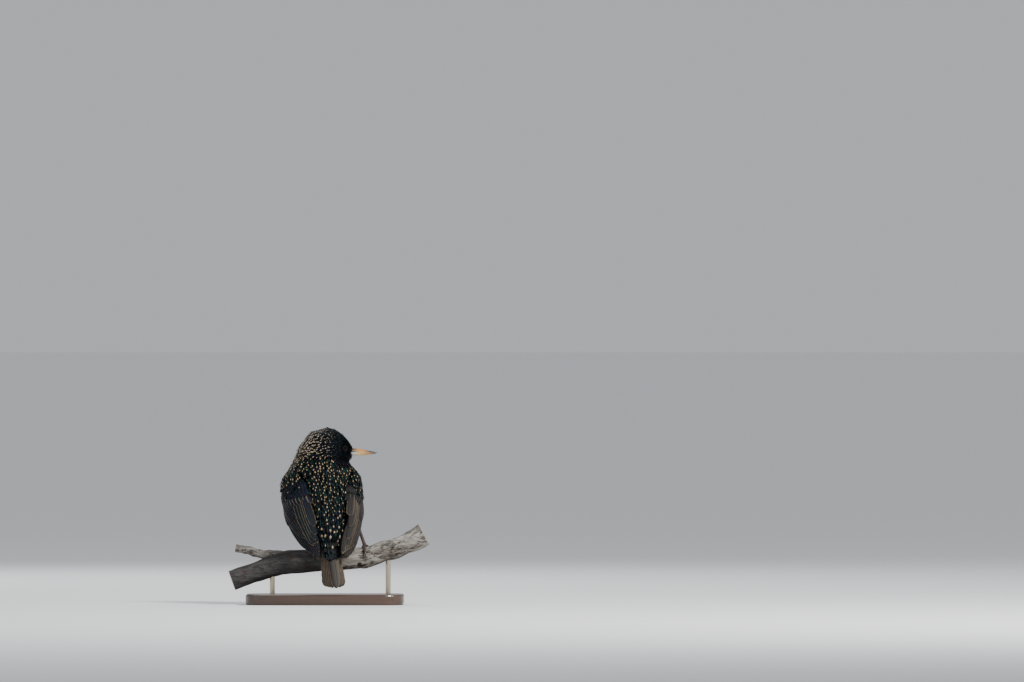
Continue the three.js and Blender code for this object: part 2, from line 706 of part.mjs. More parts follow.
function foot(name) {
  const spot = perchAt(FEET[name].at);
  const mirror = name === "right" ? 1 : -1;
  const off = (far) => spot.radius + far;
  const toes = [];
  const grown = [];
  const claws = {};
  for (const [toe, size] of Object.entries(TOES)) {
    const reach = Math.abs(size.to - size.from);
    const path = (angle, lift = 0) => {
      const share = Math.abs(angle - size.from) / reach;
      const fan = size.sides * size.spread * Math.sin(Math.min(1.2, share) * 1.3);
      return round(spot, angle, mirror * fan + TOE.lean * angle, off(GRIP.toes) + lift);
    };
    const step = (_, i) => path(mix(size.from, size.to, i / TOE.steps));
    const line = Array.from({ length: TOE.steps + 1 }, step);
    const curve = new THREE.CatmullRomCurve3([round(spot, 0, 0, off(GRIP.roots)), ...line]);
    const pads = (share) => 1 + TOE.pads * Math.cos(share * 6 * Math.PI);
    const radius = (share) => size.radius * mix(TOE.root, TOE.tip, share) * pads(share);
    const first = size.to + Math.sign(size.claw) * degreesOf(GAP + 0.05, off(GRIP.toes));
    const hook = Array.from({ length: 5 }, (_, i) => {
      const share = i / 4;
      return path(first + size.claw * share, CLAW.arch * Math.sin(Math.PI * share) - CLAW.dip * share);
    });
    const clawLine = new THREE.CatmullRomCurve3(hook);
    const clawRadius = (share) => mix(CLAW.radius, CLAW.tip, share ** 0.8);
    toes.push(tube(curve, radius, TOE.steps, TOE.sides));
    claws[toe] = tube(clawLine, clawRadius, 5, TOE.sides);
    grown.push(tube(curve, radius, TOE.steps, TOE.sides, GAP), tube(clawLine, clawRadius, 5, TOE.sides, GAP));
  }
  const sole = round(spot, 0, 0, off(GRIP.sole));
  toes.push(ball(sole, SOLE, 8, 6));
  return { solid: largest(union(toes)), room: union([...grown, ball(sole, SOLE + GAP, 8, 6)]), claws, sole };
}

// The angle that a length covers at a distance from the perch's axis.
function degreesOf(length, away) {
  return THREE.MathUtils.radToDeg(length / away);
}

// A leg: the feathered thigh out of the belly, down to the bare tarsus.
function leg(name, sole) {
  const { heel, knee, cuff } = FEET[name];
  const end = heel.clone().lerp(sole, cuff);
  const thigh = new THREE.CatmullRomCurve3([knee, heel, end]);
  const feathered = tube(thigh, (share) => mix(THIGH.radius, THIGH.cuff, share ** 0.8), 7, 12);
  const start = end.clone().addScaledVector(sole.clone().sub(end).normalize(), GAP);
  const shankRadius = (share) => mix(TARSUS.radius, TARSUS.foot, share);
  const tarsus = tube(new THREE.LineCurve3(start, sole), shankRadius, 3, 9);
  return { feathered, tarsus };
}

// Assembly
const nodes = {};
const finishes = {
  plumage: { color: [0.028, 0.035, 0.04], roughness: 0.45, metalness: 0.1 },
  flight: { color: [0.075, 0.062, 0.055], roughness: 0.5, metalness: 0 },
  bill: { color: [0.78, 0.5, 0.16], roughness: 0.4, metalness: 0 },
  eye: { color: [0.02, 0.015, 0.01], roughness: 0.08, metalness: 0 },
  leg: { color: [0.24, 0.1, 0.07], roughness: 0.55, metalness: 0 },
  claw: { color: [0.05, 0.04, 0.035], roughness: 0.35, metalness: 0 },
  branch: { color: [0.49, 0.45, 0.41], roughness: 0.9, metalness: 0 },
  stand_wood: { color: [0.13, 0.085, 0.055], roughness: 0.4, metalness: 0 },
  stand_metal: { color: [0.5, 0.46, 0.38], roughness: 0.3, metalness: 1 },
};

const wings = { left: wing(-1), right: wing(1) };
const rooms = union([wingRoom(wings.left.patch), wingRoom(wings.right.patch)]);
nodes.wing_left = { finish: "flight", solid: wings.left.solid };
nodes.wing_right = { finish: "flight", solid: wings.right.solid };

// Flesh is modelled whole and parted by thin cuts under the shoulders and under the chin.
const CUTS = {
  neck: { at: toPart(0, 17, 88), up: vec(0, 0.12, 1).normalize() },
  head: { at: vec(0, 18, 97.5 + PERCH_UP), up: vec(-0.24, 0.05, 1).normalize() },
};
const above = (solid, { at, up }, lift) => solid.trimByPlane(up.toArray(), up.dot(at) + lift);
const below = (solid, { at, up }, lift) =>
  solid.trimByPlane(up.clone().negate().toArray(), -(up.dot(at) + lift));
const flesh = union([trunk(), headSolid()]).subtract(rooms);
nodes.torso = { finish: "plumage", solid: largest(below(flesh, CUTS.neck, -GAP / 2)) };
const throat = below(above(flesh, CUTS.neck, GAP / 2), CUTS.head, -GAP / 2);
nodes.neck = { finish: "plumage", solid: largest(throat) };
const headWhole = union([above(flesh, CUTS.head, GAP / 2), lids(1), lids(-1)]);
nodes.head = {
  finish: "plumage",
  solid: largest(
    headWhole.subtract(union([1, -1].flatMap((side) => [ball(eyeAt(side), EYE.radius + GAP), gape(side)]))),
  ),
};
nodes.eye_left = { finish: "eye", solid: ball(eyeAt(-1), EYE.radius) };
nodes.eye_right = { finish: "eye", solid: ball(eyeAt(1), EYE.radius) };

const headRoom = headSolid(GAP);
const billUpper = billHalf(1).subtract(union([headRoom, nostril(1), nostril(-1)]));
nodes.bill_upper = { finish: "bill", solid: largest(billUpper) };
nodes.bill_lower = { finish: "bill", solid: largest(billHalf(-1).subtract(headRoom)) };

const trunkRoom = trunk(GAP);
nodes.tail = { finish: "flight", solid: largest(tail().subtract(union([trunkRoom, rooms]))) };

let perch = union([limb(PERCH), limb(TWIG)]);
const knot = new THREE.SphereGeometry(1, 10, 7).scale(...KNOT.size).translate(...KNOT.at);
perch = perch.add(solidOf(knot));
for (const side of ["left", "right"]) {
  const made = foot(side);
  perch = perch.subtract(made.room);
  const { feathered, tarsus } = leg(side, made.sole);
  nodes["leg_" + side] = { finish: "plumage", solid: largest(feathered.subtract(union([trunkRoom, rooms]))) };
  const shank = tarsus.subtract(union([trunkRoom, rooms, ball(made.sole, SOLE + GAP, 8, 6)]));
  nodes["tarsus_" + side] = { finish: "leg", solid: largest(shank) };
  nodes["foot_" + side] = { finish: "leg", solid: made.solid };
  for (const [toe, claw] of Object.entries(made.claws))
    nodes["claw_" + side + "_" + toe] = { finish: "claw", solid: claw };
}

// Stand: a flat base, and two rods let into the base and the perch.
const ROD = { radius: 2.4, left: -50, right: 60, sides: 16, inBase: 5, inPerch: 6 };
const outline = new THREE.Shape();
const [halfLong, halfDeep] = [BASE.long / 2 - BASE.bevel, BASE.deep / 2 - BASE.bevel];
outline.moveTo(-halfLong + BASE.corner, -halfDeep);
outline.lineTo(halfLong - BASE.corner, -halfDeep);
outline.absarc(halfLong - BASE.corner, -halfDeep + BASE.corner, BASE.corner, -Math.PI / 2, 0);
outline.absarc(halfLong - BASE.corner, halfDeep - BASE.corner, BASE.corner, 0, Math.PI / 2);
outline.absarc(-halfLong + BASE.corner, halfDeep - BASE.corner, BASE.corner, Math.PI / 2, Math.PI);
outline.absarc(-halfLong + BASE.corner, -halfDeep + BASE.corner, BASE.corner, Math.PI, 1.5 * Math.PI);
const slab = new THREE.ExtrudeGeometry(outline, {
  depth: BASE.thick - 2 * BASE.bevel,
  bevelSize: BASE.bevel,
  bevelThickness: BASE.bevel,
  bevelSegments: 2,
  curveSegments: 6,
});
let base = solidOf(slab.translate(0, 0, BASE.bevel));

function post(x, bottom, top, radius) {
  const y = perchAt(x).middle.y;
  const shape = new THREE.CylinderGeometry(radius, radius, top - bottom, ROD.sides).rotateX(Math.PI / 2);
  return solidOf(shape.translate(x, y, (top + bottom) / 2));
}

for (const side of ["left", "right"]) {
  const spot = perchAt(ROD[side]);
  const top = spot.middle.z - spot.radius + ROD.inPerch;
  const bottom = BASE.thick - ROD.inBase;
  const hole = post(ROD[side], bottom - GAP, top + GAP, ROD.radius + GAP);
  base = base.subtract(hole);
  perch = perch.subtract(hole);
  nodes["stand_rod_" + side] = { finish: "stand_metal", solid: post(ROD[side], bottom, top, ROD.radius) };
}
nodes.perch = { finish: "branch", solid: largest(perch) };
nodes.stand_base = { finish: "stand_wood", solid: largest(base) };

const starling = new THREE.Group();
for (const [name, { finish, solid }] of Object.entries(nodes)) {
  const { vertProperties, triVerts, numProp } = solid.getMesh();
  const places = new Float32Array((vertProperties.length / numProp) * 3);
  for (let i = 0; i < places.length / 3; i++)
    for (let k = 0; k < 3; k++) places[3 * i + k] = vertProperties[numProp * i + k];
  const geometry = new THREE.BufferGeometry();
  geometry.setAttribute("position", new THREE.BufferAttribute(places, 3));
  geometry.setIndex(new THREE.BufferAttribute(new Uint32Array(triVerts), 1));
  geometry.computeVertexNormals();
  const { color, roughness, metalness } = finishes[finish];
  const material = new THREE.MeshStandardMaterial({ color: new THREE.Color(...color), roughness, metalness });
  const mesh = new THREE.Mesh(geometry, material);
  mesh.name = name;
  starling.add(mesh);
}

export default starling;
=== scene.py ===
"""A European starling, seen from behind on a short branch, dressed feather by feather over its solids."""

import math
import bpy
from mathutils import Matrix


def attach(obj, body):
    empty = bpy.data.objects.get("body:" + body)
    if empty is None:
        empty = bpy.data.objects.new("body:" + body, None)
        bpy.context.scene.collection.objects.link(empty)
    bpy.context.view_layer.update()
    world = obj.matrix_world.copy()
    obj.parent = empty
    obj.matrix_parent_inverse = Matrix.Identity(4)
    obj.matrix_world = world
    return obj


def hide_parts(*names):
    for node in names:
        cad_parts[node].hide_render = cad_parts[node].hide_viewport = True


bl_info = {
    "name": "Perched starling",
    "version": (1, 0, 0),
    "blender": (4, 5, 0),
    "location": "3D Viewport > Sidebar > Starling",
    "description": "Builds the plumage, bill, feet, branch and studio of a perched starling",
    "category": "Object",
}

import bpy
import numpy as np
from bpy.props import FloatProperty, FloatVectorProperty, IntProperty, PointerProperty
from mathutils import Vector, noise
from mathutils.bvhtree import BVHTree

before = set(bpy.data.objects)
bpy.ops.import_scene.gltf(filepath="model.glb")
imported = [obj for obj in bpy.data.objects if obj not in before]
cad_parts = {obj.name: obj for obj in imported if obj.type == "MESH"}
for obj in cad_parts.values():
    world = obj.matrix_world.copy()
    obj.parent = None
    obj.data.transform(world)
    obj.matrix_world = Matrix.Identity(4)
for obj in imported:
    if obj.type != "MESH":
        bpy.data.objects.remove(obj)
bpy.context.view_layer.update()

MM = 0.001
SEED = 20
PERCH_UP = 42.3
HEADING = math.radians(13)
BODY_SIDE = 0.5
HEAD_AT = np.array((5.0, 20.0, 103 + PERCH_UP))
HEAD_TURN = math.radians(18)
BILL_DIP = math.radians(2)
FLESH = ("torso", "neck", "head", "leg_left", "leg_right")
SIDES = {"left": -1, "right": 1}
WORLD_UP = np.array((0.0, 0.0, 1.0))


def unit(vector):
    vector = np.asarray(vector, float)
    return vector / np.maximum(np.linalg.norm(vector, axis=-1, keepdims=True), 1e-9)


def smooth(value, low, high):
    share = np.clip((value - low) / (high - low), 0, 1)
    return share * share * (3 - 2 * share)


def mix(a, b, share):
    return a + (b - a) * share


def to_part(x, y, z):
    """A point of the bird's own frame (x right, y forward, z above the perch's axis) in the part's frame."""
    c, s = math.cos(HEADING), math.sin(HEADING)
    return np.array((x * c - y * s + BODY_SIDE, x * s + y * c, z + PERCH_UP))


def to_bird(p):
    """The way back from the part's frame."""
    c, s = math.cos(HEADING), math.sin(HEADING)
    x = p[0] - BODY_SIDE
    return x * c + p[1] * s, -x * s + p[1] * c, p[2] - PERCH_UP


BILL = np.array((
    math.cos(HEAD_TURN) * math.cos(BILL_DIP), math.sin(HEAD_TURN) * math.cos(BILL_DIP), -math.sin(BILL_DIP),
))
FACE_RIGHT = np.array((math.sin(HEAD_TURN), -math.cos(HEAD_TURN), 0.0))
CROWN = unit(np.cross(FACE_RIGHT, BILL))
BODY_FORWARD = to_part(0, 1, 0) - to_part(0, 0, 0)


def on_head(on, right, up):
    """A point from the head's middle: on towards the bill, right, and up to the crown."""
    return HEAD_AT + BILL * on + FACE_RIGHT * right + CROWN * up


def in_head(p):
    away = np.asarray(p) - HEAD_AT
    return away @ BILL, away @ FACE_RIGHT, away @ CROWN


class Curve:
    """A centripetal curve through points, read at a share of its length in spans and carried on straight."""

    def __init__(self, points):
        self.points = [np.array(p, float) for p in points]

    def inside(self, share):
        pts = self.points
        place = (len(pts) - 1) * share
        i = min(int(place), len(pts) - 2)
        w = place - i
        p1, p2 = pts[i], pts[i + 1]
        p0 = pts[i - 1] if i > 0 else 2 * p1 - p2
        p3 = pts[i + 2] if i + 2 < len(pts) else 2 * p2 - p1
        spans = ((p0, p1), (p1, p2), (p2, p3))
        d0, d1, d2 = (max(np.linalg.norm(b - a) ** 0.5, 1e-4) for a, b in spans)
        t1 = ((p1 - p0) / d0 - (p2 - p0) / (d0 + d1) + (p2 - p1) / d1) * d1
        t2 = ((p2 - p1) / d1 - (p3 - p1) / (d1 + d2) + (p3 - p2) / d2) * d1
        return p1 + t1 * w + (3 * (p2 - p1) - 2 * t1 - t2) * w * w + (2 * (p1 - p2) + t1 + t2) * w**3

    def at(self, share):
        held = min(1.0, max(0.0, share))
        spot = self.inside(held)
        if held != share:
            end = (0.99, 1.0) if held > 0.5 else (0.0, 0.01)
            spot = spot + (self.inside(end[1]) - self.inside(end[0])) * (share - held) / 0.01
        return spot

    def tangent(self, share):
        return unit(self.at(share + 0.005) - self.at(share - 0.005))


# Meshes


class Mesh:
    """Points, faces and per-point values that are gathered piece by piece and made into one object."""

    def __init__(self):
        self.points, self.faces, self.count = [], [], 0
        self.values = {}

    def add(self, points, faces, **values):
        points = np.asarray(points, float).reshape(-1, 3)
        self.points.append(points)
        self.faces.extend([tuple(i + self.count for i in face) for face in faces])
        self.count += len(points)
        for name, value in values.items():
            value = np.asarray(value, float)
            shape = (len(points),) + value.shape[1:]
            self.values.setdefault(name, []).append(np.broadcast_to(value, shape))

    def build(self, name, material, slot, replaces=()):
        mesh = bpy.data.meshes.new(name)
        points = np.concatenate(self.points) * MM
        mesh.from_pydata(points.tolist(), [], self.faces)
        corners = np.empty(len(mesh.loops), np.int32)
        mesh.loops.foreach_get("vertex_index", corners)
        for key, parts in self.values.items():
            whole = np.concatenate(parts)
            if whole.ndim == 2:
                layer = mesh.uv_layers.new(name=key)
                layer.data.foreach_set("uv", whole[corners].astype(np.float32).ravel())
            else:
                layer = mesh.attributes.new(key, "FLOAT", "POINT")
                layer.data.foreach_set("value", whole.astype(np.float32))
        mesh.polygons.foreach_set("use_smooth", np.ones(len(mesh.polygons), bool))
        mesh.validate()
        mesh.update()
        piece = bpy.data.objects.new(name, mesh)
        bpy.context.scene.collection.objects.link(piece)
        piece.data.materials.append(material)
        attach(piece, "root")
        if replaces:
            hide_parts(*replaces)
        return piece


def leaf_faces(rows, across):
    """Faces of a closed leaf: an upper and a lower sheet that share their rim."""
    top = np.arange(rows * across).reshape(rows, across)
    low = top.copy()
    low[1:-1, 1:-1] = rows * across + np.arange((rows - 2) * (across - 2)).reshape(rows - 2, across - 2)
    faces = []
    for i in range(rows - 1):
        for j in range(across - 1):
            faces.append((top[i, j], top[i, j + 1], top[i + 1, j + 1], top[i + 1, j]))
            faces.append((low[i + 1, j], low[i + 1, j + 1], low[i, j + 1], low[i, j]))
    return [tuple(int(k) for k in face) for face in faces]


def leaf_points(grid, thick):
    """The upper sheet of a leaf, and the inner points of its lower sheet, which lies thick below."""
    along = np.gradient(grid, axis=0)
    across = np.gradient(grid, axis=1)
    normal = unit(np.cross(across, along))
    low = grid[1:-1, 1:-1] - normal[1:-1, 1:-1] * thick
    return np.concatenate((grid.reshape(-1, 3), low.reshape(-1, 3)))


def leaf_values(values):
    """A value on each point of a leaf's grid, with the lower sheet's points after it."""
    flat = values.reshape((-1,) + values.shape[2:])
    return np.concatenate((flat, values[1:-1, 1:-1].reshape((-1,) + values.shape[2:])))


def ring_faces(rows, sides):
    """Faces between rings of points, each ring closed on itself."""
    faces = []
    for i in range(rows - 1):
        for j in range(sides):
            k = (j + 1) % sides
            faces.append((i * sides + j, i * sides + k, (i + 1) * sides + k, (i + 1) * sides + j))
    return faces


def tube(mesh, path, radii, sides, flat=1.0, **values):
    """A closed tube through a path of points, each ring square to the path."""
    path = np.asarray(path, float)
    radii = np.asarray(radii, float)
    tangents = unit(np.gradient(path, axis=0))
    side = unit(np.cross(tangents[0], (0.31, 0.2, 0.93)))
    turn = np.linspace(0, 2 * math.pi, sides, endpoint=False)
    rings = []
    for spot, tangent, radius in zip(path, tangents, radii):
        side = unit(side - tangent * (side @ tangent))
        up = np.cross(tangent, side)
        wide = np.outer(np.cos(turn) * radius, side)
        rings.append(spot + wide + np.outer(np.sin(turn) * radius * flat, up))
    rows = len(rings)
    points = np.concatenate(rings + [path[:1], path[-1:]])
    faces = ring_faces(rows, sides)
    last = (rows - 1) * sides
    for j in range(sides):
        k = (j + 1) % sides
        faces.append((rows * sides, k, j))
        faces.append((rows * sides + 1, last + j, last + k))
    share = np.concatenate((np.repeat(np.linspace(0, 1, rows), sides), (0, 1)))
    around = np.concatenate((np.tile(turn / (2 * math.pi), rows), (0, 0)))
    mesh.add(points, faces, Along=share, Around=around, **values)


# Materials


WHITE = (1, 1, 1)


class Paint:
    """A procedural material, built from small named steps."""

    def __init__(self, name, roughness=0.5, metallic=0.0, specular=0.5, coat=0.0):
        self.material = bpy.data.materials.new(name)
        self.material.use_nodes = True
        self.nodes = self.material.node_tree.nodes
        self.links = self.material.node_tree.links
        self.shader = self.nodes["Principled BSDF"]
        fixed = {
            "Roughness": roughness, "Metallic": metallic, "Specular IOR Level": specular,
            "Coat Weight": coat, "Coat Roughness": 0.1,
        }
        for socket, value in fixed.items():
            self.shader.inputs[socket].default_value = value

    def plug(self, socket, value):
        if isinstance(value, bpy.types.NodeSocket):
            self.links.new(value, socket)
        else:
            socket.default_value = value

    def math(self, operation, a, b=0.0, clamp=False):
        node = self.nodes.new("ShaderNodeMath")
        node.operation = operation
        node.use_clamp = clamp
        self.plug(node.inputs[0], a)
        self.plug(node.inputs[1], b)
        return node.outputs[0]

    def plus(self, a, b):
        return self.math("ADD", a, b)

    def less(self, a, b):
        return self.math("SUBTRACT", a, b)

    def times(self, a, b, clamp=False):
        return self.math("MULTIPLY", a, b, clamp)

    def swing(self, scale, size, detail=4.0):
        """A noise to both sides of zero, half as far as size."""
        return self.times(self.less(self.noise(scale, detail), 0.5), size)

    def step(self, value, low, high):
        node = self.nodes.new("ShaderNodeMapRange")
        node.interpolation_type = "SMOOTHSTEP"
        self.plug(node.inputs["Value"], value)
        self.plug(node.inputs["From Min"], low)
        self.plug(node.inputs["From Max"], high)
        return node.outputs["Result"]

    def mix(self, share, a, b):
        node = self.nodes.new("ShaderNodeMix")
        node.data_type = "RGBA"
        self.plug(node.inputs[0], share)
        for socket, value in ((node.inputs[6], a), (node.inputs[7], b)):
            self.plug(socket, value if isinstance(value, bpy.types.NodeSocket) else (*value, 1))
        return node.outputs[2]

    def ramp(self, value, stops):
        node = self.nodes.new("ShaderNodeValToRGB")
        while len(node.color_ramp.elements) < len(stops):
            node.color_ramp.elements.new(0.5)
        for element, (place, colour) in zip(node.color_ramp.elements, stops):
            element.position = place
            element.color = (*colour, 1)
        self.plug(node.inputs[0], value)
        return node.outputs[0]

    def value(self, name):
        node = self.nodes.new("ShaderNodeAttribute")
        node.attribute_name = name
        return node.outputs["Fac"]

    def vane(self):
        node = self.nodes.new("ShaderNodeUVMap")
        node.uv_map = "Vane"
        split = self.nodes.new("ShaderNodeSeparateXYZ")
        self.links.new(node.outputs[0], split.inputs[0])
        return split.outputs[0], split.outputs[1]

    def noise(self, scale, detail=4.0, stretch=(1, 1, 1), rough=0.5):
        place = self.nodes.new("ShaderNodeTexCoord")
        size = self.nodes.new("ShaderNodeMapping")
        size.inputs["Scale"].default_value = stretch
        self.links.new(place.outputs["Object"], size.inputs[0])
        node = self.nodes.new("ShaderNodeTexNoise")
        self.links.new(size.outputs[0], node.inputs["Vector"])
        node.inputs["Scale"].default_value = scale
        node.inputs["Detail"].default_value = detail
        node.inputs["Roughness"].default_value = rough
        return node.outputs["Fac"]

    def along_x(self, low, high):
        """How far a point lies from one place along the branch to another."""
        place = self.nodes.new("ShaderNodeTexCoord")
        split = self.nodes.new("ShaderNodeSeparateXYZ")
        self.links.new(place.outputs["Object"], split.inputs[0])
        wavy = self.plus(split.outputs[0], self.times(self.noise(120), 0.012))
        return self.step(wavy, low, high)

    def bump(self, height, strength, distance):
        node = self.nodes.new("ShaderNodeBump")
        node.inputs["Strength"].default_value = strength
        node.inputs["Distance"].default_value = distance
        self.plug(node.inputs["Height"], height)
        self.links.new(node.outputs[0], self.shader.inputs["Normal"])

    def finish(self, colour, roughness=None):
        self.plug(self.shader.inputs["Base Color"], colour)
        if roughness is not None:
            self.plug(self.shader.inputs["Roughness"], roughness)
        return self.material


def barbs(paint, along, across, count):
    """Fine ridges that run out and forward from the shaft, and a point's distance from the vane's middle."""
    away = paint.math("ABSOLUTE", paint.less(across, 0.5))
    line = paint.times(paint.less(along, paint.times(away, 0.5)), count)
    return paint.math("SINE", line), away


def gloss(paint, colours):
    """The green, blue or purple gloss, which shifts from feather to feather and over the body."""
    hue = paint.plus(paint.value("Hue"), paint.swing(38, 0.9))
    return paint.ramp(hue, ((0.18, colours.green), (0.5, colours.blue), (0.85, colours.purple)))


SPOT_MIDDLE, SPOT_NARROWS, SPOT_EDGE, SPOT_RAGGED = 1.25, 1.9, 0.03, 0.1
PLUME_BARBS, FLIGHT_BARBS, PLUME_SHINE, FLIGHT_SHINE = 95, 240, 0.45, 0.4
PLUME_ROOT, PLUME_DULL, SPOT_GAP = (0.004, 0.004, 0.005), (0.006, 0.006, 0.007), (0.1, 0.08, 0.06)


def plumage_paint(colours):
    """A glossy dark feather with a pale wedge at its tip, as long there as the feather's own spot."""
    paint = Paint("Plumage", specular=0.16)
    across, along = paint.vane()
    ridge, away = barbs(paint, along, across, PLUME_BARBS)
    spot = paint.value("Spot")
    wedge = paint.less(SPOT_MIDDLE, paint.times(away, SPOT_NARROWS))
    reach = paint.less(1.0, paint.times(spot, wedge))
    ragged = paint.plus(along, paint.swing(900, SPOT_RAGGED, 2))
    pale = paint.step(paint.less(ragged, reach), -SPOT_EDGE, SPOT_EDGE)
    pale = paint.times(pale, paint.math("GREATER_THAN", spot, 0.01))
    tint = paint.mix(paint.value("Buff"), colours.white, colours.buff)
    tint = paint.mix(paint.step(ridge, -1.0, 1.0), paint.mix(0.25, tint, SPOT_GAP), tint)
    dark = paint.mix(paint.step(along, 0.1, 0.75), PLUME_ROOT, gloss(paint, colours))
    dark = paint.mix(paint.step(paint.value("Tone"), 1.0, -1.0), dark, PLUME_DULL)
    paint.plug(paint.shader.inputs["Metallic"], paint.times(paint.less(1.0, pale), PLUME_SHINE))
    paint.bump(ridge, 0.35, 0.00012)
    return paint.finish(paint.mix(pale, dark, tint), paint.plus(0.4, paint.times(pale, 0.3)))


RIM_STARTS, RIM_FULL, RIM_AT_TIP = 0.17, 0.06, 0.045
SHAFT_AT, SHAFT_DARK, WEB_SHADE = 0.62, (0.006, 0.005, 0.005), (0.008, 0.007, 0.008)


def flight_paint(colours):
    """A brown or glossy vane with a buff rim at its outer edge and tip, or at both edges."""
    paint = Paint("Flight feathers", roughness=0.52, specular=0.12)
    across, along = paint.vane()
    ridge = barbs(paint, along, across, FLIGHT_BARBS)[0]
    fringe = paint.value("Spot")
    other = paint.times(paint.less(1.0, across), paint.value("Both"))
    starts, full, tip = (
        paint.less(1.0, paint.times(fringe, wide)) for wide in (RIM_STARTS, RIM_FULL, RIM_AT_TIP)
    )
    outer = paint.step(paint.math("MAXIMUM", across, other), starts, full)
    rim = paint.math("MAXIMUM", outer, paint.step(along, tip, 1.0))
    rim = paint.times(rim, paint.step(fringe, 0.0, 0.2))
    # A noise rubs the rims away in places; this is wear.
    wear_and_sunlight = paint.step(paint.noise(260, 3), 0.3, 0.62)
    rim = paint.times(rim, paint.mix(0.6, wear_and_sunlight, WHITE), clamp=True)
    # Per wing, gloss and the share of tail grey-brown paint light: the shaded left wing is glossier blue, and
    # the sunlit right one is paler brown. On the tail the grey-brown is its own colour.
    glossy = paint.value("Gloss")
    brown = paint.mix(paint.noise(60), colours.brown, tuple(c * 0.5 for c in colours.brown))
    brown = paint.mix(paint.value("Fade"), brown, colours.tail)
    web = paint.mix(glossy, brown, gloss(paint, colours))
    web = paint.mix(paint.times(paint.step(across, SHAFT_AT, 0.3), 0.5), web, WEB_SHADE)
    paint.plug(paint.shader.inputs["Metallic"], paint.times(glossy, FLIGHT_SHINE))
    shaft = paint.step(paint.math("ABSOLUTE", paint.less(across, SHAFT_AT)), 0.035, 0.015)
    paint.bump(paint.plus(ridge, paint.times(shaft, 3.0)), 0.3, 0.0001)
    return paint.finish(paint.mix(rim, paint.mix(shaft, web, SHAFT_DARK), colours.edge))


def skin_paint(colours):
    paint = Paint("Down and skin", roughness=0.95, specular=0.05)
    paint.bump(paint.noise(1400, 5), 0.6, 0.0004)
    fluff = paint.step(paint.noise(500, 5), 0.35, 0.7)
    down = paint.mix(fluff, (0.003, 0.003, 0.004), (0.009, 0.009, 0.009))
    return paint.finish(paint.mix(paint.times(paint.noise(40), 0.2), down, colours.blue))


BILL_DARK_ROOT, BILL_DARK_TIP, BILL_STREAK = (0.07, 0.05, 0.04), (0.05, 0.035, 0.035), (0.12, 0.08, 0.05)
BILL_PALE_ROOT, BILL_PALE_NEXT = (0.44, 0.43, 0.4), (0.62, 0.42, 0.16)


def horn_paint(colours):
    """Yellow horn, dark at the tip; the upper half starts dark and the lower one pale."""
    paint = Paint("Bill", roughness=0.4, specular=0.35)
    along = paint.plus(paint.value("Along"), paint.swing(160, 0.12))
    yellow = colours.bill
    upper = paint.ramp(along, ((0.14, BILL_DARK_ROOT), (0.34, yellow), (0.5, yellow), (0.74, BILL_DARK_TIP)))
    lower = paint.ramp(along, (
        (0.24, BILL_PALE_ROOT), (0.38, BILL_PALE_NEXT), (0.66, yellow), (0.92, BILL_DARK_ROOT),
    ))
    streak = paint.noise(260, 5, (0.35, 1, 2.2))
    colour = paint.mix(paint.value("Lower"), upper, lower)
    colour = paint.mix(paint.times(paint.step(streak, 0.5, 0.75), 0.4), colour, BILL_STREAK)
    paint.bump(streak, 0.25, 0.0002)
    return paint.finish(colour)


# The leg and toe colours are darkened far below a starling's reddish-brown: painted shade, as the legs stand
# in shadow.
def shaded_leg_paint(colours):
    paint = Paint("Shaded scaled leg", roughness=0.5, specular=0.45)
    line = paint.math("SINE", paint.times(paint.value("Along"), paint.value("Scales")))
    seam = paint.step(line, 0.75, 1.0)
    skin = paint.mix(paint.noise(240, 5), colours.leg, (0.06, 0.03, 0.025))
    paint.bump(paint.plus(paint.times(seam, -1.0), paint.times(paint.noise(1500, 3), 0.5)), 0.6, 0.0002)
    return paint.finish(paint.mix(seam, skin, (0.035, 0.02, 0.018)))


def claw_paint():
    paint = Paint("Claw horn", roughness=0.3, specular=0.55, coat=0.2)
    paint.bump(paint.noise(600, 3, (1, 1, 0.3)), 0.2, 0.0001)
    stops = ((0.0, (0.1, 0.06, 0.05)), (0.5, (0.03, 0.024, 0.022)))
    return paint.finish(paint.ramp(paint.value("Along"), stops))


PUPIL_EDGE = (0.0016, 0.0019)


def eye_paint(side):
    """A wet dark iris round a black pupil, drawn about the point where the eye looks out."""
    paint = Paint("Eye " + side, roughness=0.05, specular=0.14)
    place = paint.nodes.new("ShaderNodeTexCoord")
    gap = paint.nodes.new("ShaderNodeVectorMath")
    gap.operation = "DISTANCE"
    paint.links.new(place.outputs["Object"], gap.inputs[0])
    gap.inputs[1].default_value = pupil_at(SIDES[side]) * MM
    away = gap.outputs["Value"]
    iris = paint.mix(paint.noise(2500, 3), (0.026, 0.011, 0.006), (0.012, 0.006, 0.004))
    return paint.finish(paint.mix(paint.step(away, *PUPIL_EDGE), (0.003, 0.003, 0.004), iris))


def lid_paint():
    paint = Paint("Eye rim", roughness=0.75, specular=0.15)
    paint.bump(paint.noise(2600, 3), 0.5, 0.0001)
    return paint.finish(paint.mix(paint.noise(900), (0.004, 0.004, 0.005), (0.011, 0.01, 0.01)))


# Painted shade: the branch darkens from x = 0.03 m to x = -0.004 m and stays dark further left.
SHADE_FROM, SHADE_TO = 0.03, -0.004
WOOD_DARK, WOOD_PALE, WOOD_BLOTCH = (0.035, 0.03, 0.025), (0.47, 0.44, 0.39), (0.2, 0.17, 0.14)
# The first two tones colour the painted shade on the branch's left part.
PAINTED_SHADE_DARK, PAINTED_SHADE_PALE, STREAK = (0.012, 0.012, 0.014), (0.062, 0.06, 0.064), (0.07, 0.056, 0.046)
PIT, CRACK = (0.035, 0.028, 0.024), (0.035, 0.028, 0.022)
CUT_PALE, CUT_RING, CUT_GREY = (0.5, 0.4, 0.27), (0.3, 0.21, 0.13), (0.25, 0.22, 0.19)


